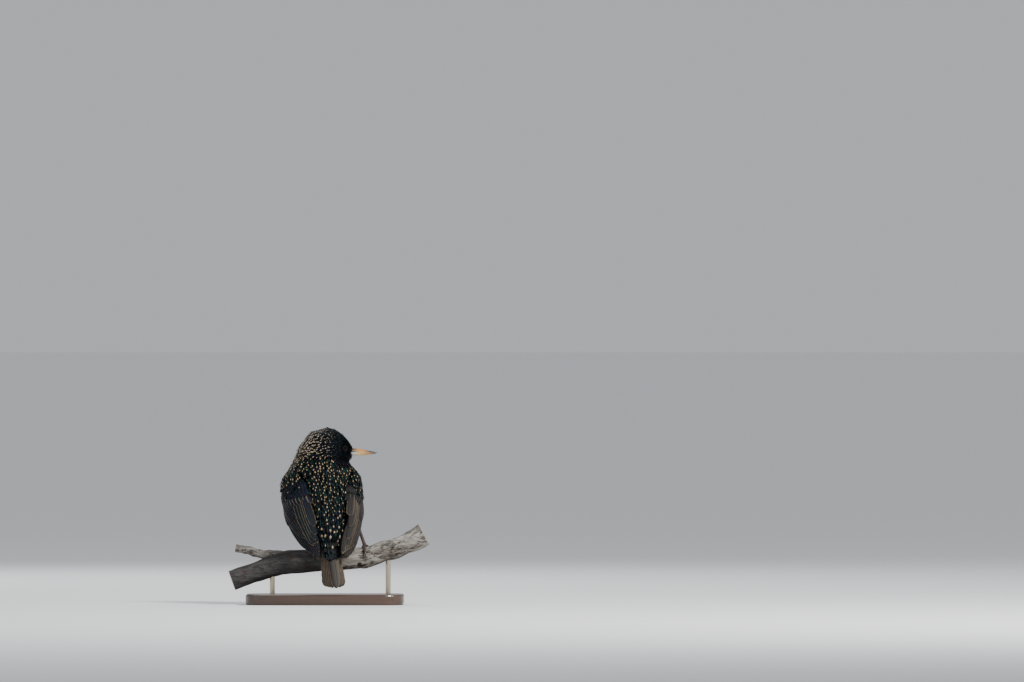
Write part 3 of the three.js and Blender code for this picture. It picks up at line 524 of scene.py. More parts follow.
def wood_paint(colours):
    """Grey weathered wood with painted shade over its left part, and streaks, pits, cracks and pale cut ends.
    """
    paint = Paint("Weathered branch", roughness=0.88, specular=0.25)
    grain = paint.noise(90, 8, (0.16, 1, 1), 0.65)
    fine = paint.noise(420, 6, (0.1, 1, 1), 0.6)
    wood = paint.ramp(grain, ((0.34, WOOD_DARK), (0.45, colours.wood), (0.66, WOOD_PALE)))
    # Painted shade over the branch's left part, as strong as each limb's Shade value.
    shaded = paint.times(paint.along_x(SHADE_FROM, SHADE_TO), paint.value("Shade"))
    painted_shade = paint.mix(paint.step(fine, 0.3, 0.7), PAINTED_SHADE_DARK, PAINTED_SHADE_PALE)
    layers = (
        (paint.times(paint.step(paint.noise(26, 4), 0.5, 0.72), 0.55), WOOD_BLOTCH),
        (paint.times(shaded, 0.93), painted_shade),
        (paint.times(paint.step(paint.noise(330, 6, (0.22, 1, 1), 0.7), 0.48, 0.6), 0.5), STREAK),
        (paint.times(paint.step(paint.noise(240, 6, (0.45, 1, 1), 0.7), 0.5, 0.58), 0.8), PIT),
        (paint.step(paint.value("Crack"), 0.15, 0.8), CRACK),
    )
    for share, tint in layers:
        wood = paint.mix(share, wood, tint)
    ring = paint.math("SINE", paint.times(paint.value("Ring"), 58.0))
    cut = paint.mix(paint.step(ring, 0.1, 0.95), CUT_PALE, CUT_RING)
    wood = paint.mix(paint.value("Cut"), wood, paint.mix(paint.times(fine, 0.5), cut, CUT_GREY))
    paint.bump(paint.plus(grain, paint.times(fine, 0.6)), 0.7, 0.0006)
    return paint.finish(wood)


def base_paint(colours):
    paint = Paint("Stained base", roughness=0.32, specular=0.5, coat=0.25)
    grain = paint.noise(30, 7, (0.12, 1.4, 1), 0.62)
    pores = paint.noise(500, 3, (0.04, 1, 1))
    tones = ((0.32, 0.45), (0.55, 1), (0.75, 1.5))
    stops = [(place, tuple(c * bright for c in colours.stain)) for place, bright in tones]
    paint.bump(paint.plus(grain, pores), 0.12, 0.0002)
    filled = paint.times(paint.step(pores, 0.6, 0.75), 0.5)
    return paint.finish(paint.mix(filled, paint.ramp(grain, stops), (0.015, 0.009, 0.006)))


def rod_paint():
    paint = Paint("Brushed rod", metallic=1.0)
    brushed = paint.noise(300, 4, (14, 14, 0.4))
    paint.bump(brushed, 0.15, 0.0001)
    colour = paint.mix(brushed, (0.42, 0.36, 0.25), (0.62, 0.56, 0.43))
    return paint.finish(colour, paint.plus(0.2, paint.times(brushed, 0.2)))


def floor_paint():
    paint = Paint("Studio floor", roughness=0.9, specular=0.1)
    return paint.finish(paint.mix(paint.noise(3), (0.9, 0.9, 0.9), (0.92, 0.92, 0.92)))


# Wings


WING_INNER = {
    -1: ((19, 4, 82), (18.6, -5, 68), (16.8, -14.5, 54), (15.3, -24, 39), (12.2, -33.5, 20), (12.6, -42, 2)),
    1: ((19, 4, 82), (18, -5, 68), (16, -14.5, 54), (14.2, -24, 39), (9, -33.5, 20), (6.4, -42, 2)),
}
WING_OUTER = {
    -1: ((38.5, 24, 73), (38.8, 16, 60), (38, 6, 46), (37, -6, 31), (29.6, -21, 14), (18, -38.5, -2)),
    1: ((35.5, 24, 73), (36.2, 16, 60), (35.2, 6, 46), (31.4, -6, 31), (25.4, -21, 14), (18.5, -37.5, 0)),
}
WING_BULGE, WING_TIP_BULGE = 6.2, 1.2
PAD_FROM, PAD_TO, PAD_TOP, PAD_RISE, PAD_DEEP = -0.03, 0.37, 3.1, 2.6, 5.0


class WingPatch:
    """The curved sheet a folded wing lies on: u down its length, v from back to flank, high above it."""

    def __init__(self, side):
        self.side = side
        self.inner = Curve([to_part(side * x, y, z) for x, y, z in WING_INNER[side]])
        self.outer = Curve([to_part(side * x, y, z) for x, y, z in WING_OUTER[side]])

    def span(self, u):
        return np.linalg.norm(self.outer.at(u) - self.inner.at(u))

    def row(self, u):
        a, b = self.inner.at(u), self.outer.at(u)
        across = b - a
        down = self.inner.at(u + 0.01) - self.inner.at(u - 0.01)
        out = unit(np.cross(down, across)) * self.side
        return a, across, out * mix(WING_BULGE, WING_TIP_BULGE, smooth(u, 0.4, 1)) * 4

    def at(self, u, v, high):
        v = np.asarray(v, float)[:, None]
        spots = []
        for place in (u, u - 0.01, u + 0.01):
            a, across, bulge = self.row(place)
            spots.append(a + across * v + bulge * v * (1 - v))
        a, across, bulge = self.row(u)
        normal = unit(np.cross(spots[2] - spots[1], across + bulge * (1 - 2 * v))) * self.side
        return spots[0] + normal * np.asarray(high, float)[:, None]


LONG = ((0, 0.3), (0.08, 0.6), (0.3, 0.86), (0.65, 1), (0.86, 0.88), (0.95, 0.6), (1, 0.1))
BLUNT = ((0, 0.3), (0.1, 0.65), (0.4, 0.92), (0.75, 1), (0.92, 0.85), (0.98, 0.5), (1, 0.14))
TAPERED = ((0, 0.3), (0.15, 0.75), (0.45, 1), (0.7, 0.96), (0.87, 0.7), (0.96, 0.36), (1, 0.06))
BROAD = ((0, 0.4), (0.15, 0.85), (0.5, 1), (0.75, 0.98), (0.9, 0.74), (0.97, 0.42), (1, 0.12))
POINTED = ((0, 0.35), (0.2, 0.8), (0.5, 1), (0.75, 0.86), (0.92, 0.45), (1, 0.05))
VANE_THICK, VANE_APART, VANE_STEP = 0.2, 0.16, 0.8


def line_at(feather, u):
    """The place across the patch of a feather's middle line, at a place down it."""
    root, tip = feather["root"], feather["tip"]
    return mix(root[1], tip[1], (u - root[0]) / (tip[0] - root[0]))


def vane(mesh, patch, feather, following, rng, rows=18, across=7):
    """One flight feather or covert on a patch: outer edge high, inner edge tucked under its neighbour."""
    root, tip = np.array(feather["root"]), np.array(feather["tip"])
    outline = feather.get("outline", LONG)
    shares = np.linspace(0, 1, rows) ** 0.9
    fills = np.interp(shares, [s for s, _ in outline], [f for _, f in outline])
    places = np.linspace(-1, 1, across)
    nick = rng.normal(0, 0.035, rows) * (shares > 0.3)
    grid = np.zeros((rows, across, 3))
    rise = feather.get("rise", 0.35)
    for i, (share, fill) in enumerate(zip(shares, fills)):
        u, v = mix(root, tip, share)
        span = patch.span(u)
        half = feather["wide"] * fill / 2
        step = max(VANE_STEP, abs(line_at(following, u) - v) * span)
        drop = (VANE_THICK + VANE_APART) * 2 * half / step
        lie = mix(feather["sunk"], feather["high"], smooth(share, 0, rise))
        tilt = lie - drop * (1 - places) / 2
        camber = feather.get("camber", 0.25) * half * 0.4 * (1 - places**2)
        press = feather.get("press", 0) * share**3
        edge = places * (1 + nick[i] * np.abs(places))
        grid[i] = patch.at(u, v + edge * half / span, tilt + camber - press)
    if patch.side < 0:
        grid = grid[:, ::-1]
        places = -places
    along = np.repeat(shares[:, None], across, 1)
    uv = np.stack((np.repeat((places[None] + 1) / 2, rows, 0), along), -1)
    small = bake_place(grid[0, across // 2]) + (uv - 0.5) * BAKE_PATCH
    has = feather.get
    mesh.add(
        leaf_points(grid, VANE_THICK), leaf_faces(rows, across),
        Vane=leaf_values(uv), OFBake=leaf_values(small), Spot=has("fringe", 1.0),
        Tone=has("tone", 0) + rng.uniform(-1, 1), Hue=has("hue", 0.5) + rng.normal(0, 0.08),
        Gloss=has("gloss", 0.0), Fade=has("fade", 0.0), Both=has("both", 0.0), Buff=0.8,
    )


def vane_row(mesh, patch, feathers, rng, **sizes):
    """Feathers side by side, the inner edge of each tucked under the next one."""
    for i, feather in enumerate(feathers):
        following = feathers[i + 1] if i + 1 < len(feathers) else feathers[i - 1]
        vane(mesh, patch, feather, following, rng, **sizes)


def even(count, make):
    return [make(i / (count - 1)) for i in range(count)]


PRIMARY_TIPS = (
    (0.85, 0.86), (0.9, 0.76), (0.945, 0.64), (0.98, 0.5), (1.0, 0.38), (0.99, 0.28), (0.96, 0.2),
    (0.925, 0.14), (0.88, 0.11),
)
SECONDARY_ROOTS = {-1: (0.98, 0.5), 1: (0.85, 0.25)}
SECONDARY_TIPS = {-1: ((0.75, 0.64), (0.84, 0.14)), 1: ((0.84, 0.74), (0.96, 0.04))}
TERTIALS = {
    -1: ((0.86, 0.36), (0.85, 0.27), (0.81, 0.19), (0.76, 0.13), (0.68, 0.09)),
    1: ((0.88, 0.26), (0.8, 0.2), (0.68, 0.15), (0.57, 0.09)),
}
# Each tier's count, start and end down the wing, outermost root, slant, height and fringe
SCAPULARS = {
    -1: (
        (9, 0.17, 0.45, 0.9, 0.2, 4.0, 1.5), (7, 0.1, 0.35, 0.7, 0.14, 4.3, 0.25),
        (5, 0.04, 0.25, 0.4, 0.08, 4.3, 0.2),
    ),
    1: ((9, 0.18, 0.42, 0.9, 0.15, 3.9, 0.7), (5, 0.08, 0.3, 0.5, 0.1, 4.0, 0.4)),
}


def wing_feathers(mesh, patch, rng):
    """Tiers of a folded wing from the primaries up to the scapulars, which drape over its root."""
    side = patch.side
    left = side < 0
    # The wings are a lit and a shaded copy: more blue gloss on the shaded left wing, and on the sunlit right
    # one paler grey-brown vanes, wider pale rims and duller scapulars, all painted light.
    painted_side_light = {"gloss": 0.75 if left else 0.15, "hue": 0.5, "fade": 0.0 if left else 0.3}
    wear_and_sunlight = 0 if left else 0.3
    vane_row(mesh, patch, [
        {"root": (0.3, 0.93 - 0.055 * i), "tip": tip, "wide": 4.6, "high": 0.4, "sunk": -0.8, "outline": LONG,
         "fringe": 0.5, **painted_side_light}
        for i, tip in enumerate(PRIMARY_TIPS)
    ], rng, rows=22)
    first, last = SECONDARY_ROOTS[side]
    outer, inner = SECONDARY_TIPS[side]
    vane_row(mesh, patch, even(7, lambda s: {
        "root": (0.3, mix(first, last, s)), "tip": (mix(outer[0], inner[0], s), mix(outer[1], inner[1], s)),
        "wide": 5.8, "high": 1.9, "sunk": 0.2, "outline": BLUNT, "fringe": mix(0.5, 0.9, s) + wear_and_sunlight,
        "rise": 0.5, "press": 0.5, **painted_side_light}), rng, rows=22)
    vane_row(mesh, patch, even(7, lambda s: {
        "root": (0.26, mix(0.98, 0.8, s)), "tip": (mix(0.6, 0.52, s), mix(0.93, 0.76, s)), "wide": 3.2,
        "high": 1.8, "sunk": 0.6, "outline": POINTED, "fringe": 0.4, "rise": 0.6, **painted_side_light}), rng, rows=12)
    vane_row(mesh, patch, even(7, lambda s: {
        "root": (0.2, mix(0.97, 0.56, s)),
        "tip": (mix(0.6, 0.5, s) + rng.uniform(-0.01, 0.01), mix(0.68, 0.24, s)),
        "wide": 5.4, "high": 3.1, "sunk": 1.4, "outline": TAPERED, "fringe": mix(0.5, 0.9, s), "rise": 0.7,
        "press": 0.9, **painted_side_light}), rng, rows=16)
    tertials = TERTIALS[side]
    vane_row(mesh, patch, [
        {"root": (0.22, tip[1] + 0.07), "tip": tip, "wide": 6.8, "high": 3.1 + 0.2 * i, "sunk": 1.4,
         "outline": BLUNT, "fringe": 0.65 + wear_and_sunlight, "both": 0.5 + 0.5 * (i + 1 == len(tertials)), "rise": 0.4,
         "press": 0.5, **painted_side_light}
        for i, tip in enumerate(tertials)
    ], rng, rows=22)
    # On the right wing the scapulars' gloss is lowered to paint its sunlight.
    for count, start, end, first, slant, high, fringe in SCAPULARS[side]:
        vane_row(mesh, patch, even(count, lambda s: {
            "root": (start, mix(first, 0.0, s)),
            "tip": (end - 0.05 * abs(s - 0.5) + rng.uniform(-0.012, 0.012), mix(first - slant, 0.03, s)),
            "wide": 6.2, "high": high - 1.6 * (1 - s) ** 2, "sunk": -0.4, "outline": BROAD, "hue": 0.52,
            "gloss": 1.0 - 2 * wear_and_sunlight, "fringe": fringe * mix(0.45, 1, s), "both": 0.8, "rise": 0.8,
            "press": 0.9}), rng, rows=12)


# Tail


TAIL_ROOT, TAIL_LEAN, TAIL_LONG = (0.0, -20.3, 25.0), math.radians(60), 59.0
TAIL_HALF = {-1: 13.4, 1: 11.2}
TAIL_LAYER = 0.66
TAIL_PAIRS = 6
# Each tier's count, start, end, spread and height, over the tail's root and under it
TAIL_COVERTS = (
    (13, 0, 26, 25, 1.3), (12, 8, 30, 15, 2.4), (13, 4, 24, 18, 3.0), (13, 0, 17, 19, 3.6),
    (13, -3, 10, 19, 4.2),
)
UNDER_COVERTS = ((6, 0, 22, 12, -7.2), (5, 4, 34, 11, -7.7))


class TailPatch:
    """The flat sheet the tail lies on, read in millimetres down from its root, aside and above."""

    side = 1
    down = np.array((0, -math.cos(TAIL_LEAN), -math.sin(TAIL_LEAN)))
    over = np.array((0, -math.sin(TAIL_LEAN), math.cos(TAIL_LEAN)))

    def span(self, on):
        return 1.0

    def at(self, on, side, high):
        side, high = np.asarray(side, float), np.broadcast_to(high, np.shape(side))
        rows = []
        for s, h in zip(side, high):
            p = np.array(TAIL_ROOT) + self.down * on + self.over * (h - abs(s) * 0.1)
            rows.append(to_part(s, p[1], p[2]))
        return np.array(rows)


def tail_feather(mesh, middle, rng, rows, aside=1, **feather):
    """A feather laid as if its neighbour were far off; aside is -1 where its outer web faces left."""
    far = middle + aside * 40
    vane(mesh, TailPatch(), feather, {"root": (0, far), "tip": (60, far)}, rng, rows=rows)
    if aside < 0:
        uv = mesh.values["Vane"][-1].copy()
        uv[:, 0] = 1 - uv[:, 0]
        mesh.values["Vane"][-1] = uv


def tail_feathers(mesh, coverts, rng):
    for pair in range(TAIL_PAIRS):
        top = pair == 0
        for side in (1, -1):
            edge = mix(5, TAIL_HALF[side], (pair / (TAIL_PAIRS - 1)) ** 0.86)
            wide = 9.5 if top else 7
            level = (0 if side > 0 else -TAIL_LAYER) if top else -TAIL_LAYER * (pair + 1)
            middle = side * (edge - wide / 2)
            tail_feather(
                mesh, middle, rng, 20, side, root=(3, middle * 0.45),
                tip=(TAIL_LONG - 0.9 * pair - 0.5 * (side > 0), middle), wide=wide, high=level + 0.6,
                sunk=level * 0.4 - 0.5, outline=BLUNT, fringe=0.75, gloss=0.1, hue=0.4, camber=0.12,
                fade=1.0 if top else 0.25, both=0.7 if top else 0.0,
            )
    for count, start, end, spread, up in TAIL_COVERTS:
        for i in range(count):
            place = i / (count - 1) - 0.5
            middle = place * spread
            long = end - 12 * place * place + rng.uniform(-1.6, 1.6)
            tail_feather(
                coverts, middle, rng, 14, root=(start, middle * 0.6), tip=(long, middle), wide=3.9,
                high=up - 8 * place * place + 0.3 * (i % 2), sunk=0.4, outline=TAPERED, hue=0.3, tone=-0.8,
                fringe=0.15 if end < 20 and i % 4 == end % 3 else 0.0, rise=0.8, camber=0.5,
            )
    for count, start, end, spread, up in UNDER_COVERTS:
        for i in range(count):
            place = i / (count - 1) - 0.5
            middle = place * spread
            tail_feather(
                coverts, middle, rng, 14, root=(start, middle * 0.6), tip=(end - 14 * place * place, middle),
                wide=6.4, high=up + 4 * place * place, sunk=-2.6, outline=TAPERED, fringe=0.3, hue=0.5,
                rise=0.5, camber=-0.3,
            )


# Coat


BAKE_PATCH, BAKE_HALF = 0.003, 0.47
HEAD_FROM = 98


def bake_place(p):
    """A root's place on an unwrap of the body: round it and up it, with the head laid out on its own part."""
    x, y, z = to_bird(p)
    on, right, up = in_head(p)
    if z > HEAD_FROM:
        turn = math.atan2(right, -on)
        return np.array((0.5 + BAKE_HALF * turn / math.pi, 0.8 + 0.17 * min(1, max(0, (up + 14) / 38))))
    axis_y = np.interp(z, (0, 26, 58, 86, HEAD_FROM), (-34, -18, 6, 18, 18))
    turn = math.atan2(x, -(y - axis_y))
    return np.array((0.5 + BAKE_HALF * turn / math.pi, 0.03 + 0.73 * min(1, max(0, (z + 5) / 103))))


SPINE = Curve((
    (0, -26, 16.5), (0, -20.5, 26), (0, -9.5, 42), (0, 2.5, 58), (0, 11.5, 73), (0, 17, 86), (0, 18.5, 97),
    (0, 17, 108),
))


def flow_at(p, normal):
    """The lie of the coat at a point: back from the bill over the head, then down the body to the tail."""
    x, y, z = to_bird(p)
    on = in_head(p)[0]
    share = float(np.clip((z - 15) / 100, 0, 1))
    line = SPINE.tangent(share)
    body = -(to_part(*line) - to_part(0, 0, 0))
    back = -BILL - CROWN * 0.35 * float(smooth(-on, -12, 12))
    weight = float(smooth(z, 90, 104))
    if z < 34 and abs(x) < 40 and y > -10:
        legs = float(smooth(34 - z, 0, 12)) * 0.7
        body = mix(body, -WORLD_UP, legs)
    flow = mix(body, back, weight)
    return unit(flow - normal * (flow @ normal))


def coat_kind(p, normal, rng, place):
    """Length, width, spot, gap between spots, buff, hue and piece of the body feather at a point."""
    _, y, z = to_bird(p)
    on, _, up = in_head(p)
    backward = float(-(normal @ BODY_FORWARD))
    upper = float(smooth(backward + normal[2] * 0.35, -0.25, 0.3))
    if z > 99 or (z > 92 and on > 0):
        far = float(smooth(-on, -18, 16))
        below = float(smooth(-up, 2, 10))
        throat = float(smooth(-up, 7, 16))
        length = mix(2.3, 8.2, far**1.2) + 2.2 * below * far + 4.5 * throat * (1 - far)
        slim = mix(0.42, 0.33, far)
        spot, gap = mix(0.1, 0.19, smooth(-on, -8, 8)), mix(2.6, 1.6, smooth(-on, -8, 4)) + 1.2 * below
        kind, hue = "nape" if on < -2 else "face", 0.5 + 0.4 * below
        buff = 0.45 * upper + 0.1 + 0.4 * float(smooth(108 - z, 0, 10))
    elif upper > 0.5:
        down = float(smooth(60 - z, 0, 34))
        length, slim = mix(8.6, 12, down), mix(0.4, 0.46, down)
        spot, gap = mix(0.17, 0.2, down), mix(mix(2.1, 2.9, smooth(96 - z, 0, 24)), 4.3, down)
        kind, buff, hue = "rump" if z < 52 else "mantle", mix(0.9, 0.7, down), 0.3 + 0.15 * down
    else:
        down = float(smooth(60 - z, 0, 40))
        length, slim = mix(9, 12, down), 0.42
        spot, gap = 0.19, mix(3.7, 5.2, down)
        kind, buff, hue = "belly" if z < 52 else "breast", 0.15, mix(0.65, 0.35, down)
    if place == "wing":
        length, slim, spot, gap, kind, hue = 8.5, 0.46, 0.12, 7.0, "shoulder", 0.55
    if z < 30 and y > -12:
        length, slim, kind = 6.0, 0.42, "belly"
    if place == "hidden":
        spot = 0.0
    length *= rng.uniform(0.9, 1.1)
    return {
        "length": length, "wide": length * slim * rng.uniform(0.9, 1.1),
        "spot": spot * rng.uniform(0.75, 1.25), "gap": gap, "buff": buff, "hue": hue, "piece": kind,
    }


COAT_ROWS, COAT_ACROSS, COAT_THICK = 7, 3, 0.12
COAT_FACES = leaf_faces(COAT_ROWS, COAT_ACROSS)
COAT_OUTLINE = np.interp(np.linspace(0, 1, COAT_ROWS), (0, 0.3, 0.6, 0.83, 1), (0.45, 0.95, 1.0, 0.72, 0.06))


def surface_of(piece):
    """A piece's points in millimetres and the corners of its triangles."""
    mesh = piece.data
    points = np.empty(len(mesh.vertices) * 3)
    mesh.vertices.foreach_get("co", points)
    points = points.reshape(-1, 3) / MM
    mesh.calc_loop_triangles()
    corners = np.empty(len(mesh.loop_triangles) * 3, np.int32)
    mesh.loop_triangles.foreach_get("vertices", corners)
    return points, corners.reshape(-1, 3)


TRIES_PER_SQUARE_MM, ROOT_CELL, SPOT_CELL = 8, 2.0, 2.5


def coat_roots(points, corners, rng, closeness, where):
    """Random roots on the skin, each kept clear of its neighbours by a share of its own feather's length."""
    a, b, c = (points[corners[:, k]] for k in range(3))
    cross = np.cross(b - a, c - a)
    area = np.linalg.norm(cross, axis=1) / 2
    normals = unit(cross)
    tries = int(area.sum() * TRIES_PER_SQUARE_MM)
    chosen = rng.choice(len(area), tries, p=area / area.sum())
    r = rng.random((tries, 2))
    flip = r.sum(1) > 1
    r[flip] = 1 - r[flip]
    spots = a[chosen] + (b - a)[chosen] * r[:, :1] + (c - a)[chosen] * r[:, 1:]
    kept, roots, spots_taken = [], Crowd(ROOT_CELL), Crowd(SPOT_CELL)
    for spot, normal in zip(spots, normals[chosen]):
        place = where(spot, normal)
        if place is None:
            continue
        kind = coat_kind(spot, normal, rng, place)
        if not roots.clear(spot, kind["length"] * closeness):
            continue
        roots.add(spot)
        if kind["spot"] and spots_taken.clear(spot, kind["gap"]):
            spots_taken.add(spot)
        else:
            kind["spot"] = 0.0
        kept.append((spot, kind))
    return kept


class Crowd:
    """Points sorted into cells, to find whether a new one stands clear of those before it."""

    def __init__(self, cell):
        self.cell, self.cells = cell, {}

    def key(self, spot):
        return tuple(int(v // self.cell) for v in spot)

    def add(self, spot):
        self.cells.setdefault(self.key(spot), []).append(spot)

    def clear(self, spot, gap):
        reach = range(-int(gap // self.cell) - 1, int(gap // self.cell) + 2)
        a, b, c = self.key(spot)
        x, y, z = spot
        for i in reach:
            for j in reach:
                for k in reach:
                    for other in self.cells.get((a + i, b + j, c + k), ()):
                        if (other[0] - x) ** 2 + (other[1] - y) ** 2 + (other[2] - z) ** 2 < gap * gap:
                            return False
        return True


FEATHER_SUNK, FEATHER_CAMBER, FEATHER_STRAY, FEATHER_EVEN = 0.3, 0.22, 0.1, 0.45


def body_feather(mesh, tree, spot, kind, rng, lift):
    """One small feather that follows the skin from its root and rises towards its tip."""
    length, wide, hue = kind["length"], kind["wide"], kind["hue"]
    rows, across = COAT_ROWS, COAT_ACROSS
    grid = np.zeros((rows, across, 3))
    here = Vector(spot)
    stray = rng.normal(0, FEATHER_STRAY)
    step = length / (rows - 1)
    sway = None
    for i in range(rows):
        touch, normal, _, _ = tree.find_nearest(here)
        normal = np.array(normal)
        here = np.array(touch)
        flow = flow_at(here, normal)
        side = np.cross(flow, normal)
        flow = unit(flow + side * stray)
        if sway is not None:
            flow = unit(mix(flow, sway, FEATHER_EVEN))
        sway = flow
        side = unit(np.cross(flow, normal))
        share = i / (rows - 1)
        high = lift * share**0.75 - FEATHER_SUNK
        half = wide * COAT_OUTLINE[i] / 2
        middle = here + normal * high
        grid[i, 1] = middle + normal * half * FEATHER_CAMBER
        grid[i, 0] = middle - side * half
        grid[i, 2] = middle + side * half
        here = Vector(here + flow * step)
    share = np.repeat(np.linspace(0, 1, rows)[:, None], across, 1)
    uv = np.stack((np.repeat([[0.0, 0.5, 1.0]], rows, 0), share), -1)
    patch = bake_place(spot) + (uv - 0.5) * BAKE_PATCH
    mesh.add(
        leaf_points(grid, COAT_THICK), COAT_FACES,
        Vane=leaf_values(uv), OFBake=leaf_values(patch), Spot=kind["spot"],
        Tone=rng.uniform(-1, 1), Hue=hue + rng.normal(0, 0.09), Buff=kind["buff"] + rng.uniform(-0.15, 0.15),
    )


# Head parts


BILL_SHAPE = {
    "from": 17, "tip": 46.4, "short": 0.8, "half": 4.5, "over": 4.3, "under": 4.0, "tip_half": 0.55,
    "tip_over": 0.4, "grown": 1.06,
}
NOSTRIL = {"on": 26, "up": 1.9, "long": 1.5, "high": 0.5, "deep": 0.55}
EYE = {"on": 10.4, "up": 3.2, "right": 9.2, "radius": 2.9}
LID = {"ring": 2.55, "thick": 0.34}


def eye_at(side):
    return on_head(EYE["on"], side * EYE["right"], EYE["up"])


def eye_out(side):
    return unit(FACE_RIGHT * side + BILL * 0.32)


def pupil_at(side):
    return eye_at(side) + eye_out(side) * EYE["radius"]


def bill_half(mesh, sign):
    """The upper half of the bill for sign 1 and the lower one for -1, split along the mouth line."""
    shape = BILL_SHAPE
    deep = shape["over"] if sign > 0 else shape["under"]
    rows, arc = 44, 25
    rings = []
    shares = np.linspace(0, 1, rows)
    for share in shares:
        tip = shape["tip"] - (shape["short"] if sign < 0 else 0)
        on = mix(shape["from"], tip, share)
        taper = (1 - share) ** 0.82
        half = mix(shape["tip_half"], shape["half"] * shape["grown"], taper)
        high = mix(shape["tip_over"], deep * shape["grown"], taper)
        ring = []
        for turn in np.linspace(0, math.pi, arc):
            up = 0.12 + math.sin(turn) ** 0.9 * high
            side = math.cos(turn) * half * (1 - 0.05 * math.sin(turn * 2) ** 2)
            if sign > 0:
                dent = ((on - NOSTRIL["on"]) / NOSTRIL["long"]) ** 2
                dent += ((up - NOSTRIL["up"]) / NOSTRIL["high"]) ** 2
                side *= 1 - NOSTRIL["deep"] / half * math.exp(-dent * 1.4)
            ring.append(on_head(on, side, sign * up))
        rings.append(ring)
    points = np.array(rings).reshape(-1, 3)
    faces = ring_faces(rows, arc)
    faces += [tuple(range(arc - 1, -1, -1)), tuple(range((rows - 1) * arc, rows * arc))]
    if sign < 0:
        faces = [face[::-1] for face in faces]
    mesh.add(points, faces, Along=np.repeat(shares, arc), Lower=0.0 if sign > 0 else 1.0)


def lid(mesh, side):
    """The bare rim round an eye, a little wider than high and uneven in thickness."""
    out = eye_out(side)
    flat = unit(np.cross(out, CROWN))
    up = np.cross(flat, out)
    middle = eye_at(side) + out * EYE["radius"] * 0.5
    path, radii = [], []
    for turn in np.linspace(0, 2 * math.pi, 49):
        path.append(middle + (flat * math.cos(turn) * 1.04 + up * math.sin(turn) * 0.94) * LID["ring"])
        radii.append(LID["thick"] * (1 + 0.14 * math.sin(9 * turn)))
    tube(mesh, path, radii, 10)


# Perch and feet


PERCH_LINE = (
    (-88.5, 0, 22.8), (-62, 1.5, 32.1), (-33.5, 0.8, 39.8), (-5, 0, 42.2), (24, -0.3, 43.6), (40, 0, 45.6),
    (57, 0.6, 50.4), (74, 1, 55.9), (94, 0.6, 66.4),
)
PERCH_RADII = (9.3, 9.4, 11.4, 10.4, 10, 9.8, 9.6, 9.5, 10.8)
TWIG_LINE = ((-33, 1, 43.5), (-46.5, 2.5, 46.6), (-60, 4, 48), (-73, 5, 51.2), (-85, 5.4, 53.6))
TWIG_RADII = (6.5, 4.8, 4.1, 3.9, 3.7)
KNOT_AT, KNOT_SIZE = np.array((32.4, -8.4, 37.6)), 4.6
CRACK_DEEP, FINE_HIGH, LUMP_HIGH, KNOT_HIGH, KNOT_PIT = 0.75, 0.32, 0.5, 1.6, 2.6
CUT_RINGS = 10
PERCH = Curve(PERCH_LINE)


def listed(values, share):
    """A value between those of a list, eased from one to the next."""
    place = share * (len(values) - 1)
    i = min(len(values) - 2, int(place))
    return mix(values[i], values[i + 1], smooth(place - i, 0, 1))


def limb(mesh, line, radii, steps, sides, rough, seed, shade):
    """A weathered limb with long fissures, low bumps, and cut ends with growth rings."""
    curve = Curve(line)
    turns = np.linspace(0, 2 * math.pi, sides, endpoint=False)
    rows, cracks = [], []
    for i in range(steps + 1):
        share = i / steps
        middle, tangent = curve.at(share), curve.tangent(share)
        up = unit(WORLD_UP - tangent * tangent[2])
        out = np.cross(tangent, up)
        base = listed(radii, share)
        for turn in turns:
            aim = up * math.cos(turn) + out * math.sin(turn)
            uneven = sum(math.sin(a * turn + b * share) for a, b in ((3, 9), (5, -23), (1, 37)))
            spot = middle + aim * base
            twist = turn + share * 1.5
            long_way = Vector((math.cos(twist) * 3.2, math.sin(twist) * 3.2, share * 5 + seed))
            split = 1 - abs(noise.noise(long_way)) * 7
            broken = 0.4 + 2 * noise.noise(Vector((share * 9, seed, turn)))
            crack = max(0.0, split) * max(0.0, min(1.0, broken))
            fine = noise.noise(Vector((math.cos(twist) * 9, math.sin(twist) * 9, share * 16 + seed)))
            lumps = noise.noise(Vector(spot) * 0.12)
            grow = rough * uneven - CRACK_DEEP * crack + FINE_HIGH * fine + LUMP_HIGH * lumps
            knot = math.exp(-(np.linalg.norm(spot - KNOT_AT) / KNOT_SIZE) ** 2)
            rows.append(middle + aim * (base + grow + KNOT_HIGH * knot - KNOT_PIT * knot**6))
            cracks.append(min(1.0, crack + knot**6))
    points = np.array(rows)
    mesh.add(points, ring_faces(steps + 1, sides), Crack=np.array(cracks), Ring=0.0, Cut=0.0, Shade=shade)
    for end, flip in ((0, True), (steps, False)):
        rim = points[end * sides:(end + 1) * sides]
        middle = rim.mean(0)
        cap = np.concatenate([mix(rim, middle, k / CUT_RINGS) for k in range(CUT_RINGS)] + [middle[None]])
        inner = (CUT_RINGS - 1) * sides
        faces = ring_faces(CUT_RINGS, sides)
        faces += [(inner + j, inner + (j + 1) % sides, CUT_RINGS * sides) for j in range(sides)]
        if flip:
            faces = [face[::-1] for face in faces]
        ring = np.concatenate((np.repeat(1 - np.arange(CUT_RINGS) / CUT_RINGS, sides), (0,)))
        mesh.add(cap, faces, Crack=0.0, Ring=ring, Cut=np.clip((1 - ring) * 12, 0, 1), Shade=shade)


def perch_at(x):
    """The branch at a place along it: axis, its direction, up, forward and radius."""
    low, high = 0.0, 1.0
    for _ in range(40):
        share = (low + high) / 2
        if PERCH.at(share)[0] < x:
            low = share
        else:
            high = share
    tangent = PERCH.tangent(low)
    up = unit(WORLD_UP - tangent * tangent[2])
    return PERCH.at(low), tangent, up, np.cross(up, tangent), listed(PERCH_RADII, low)


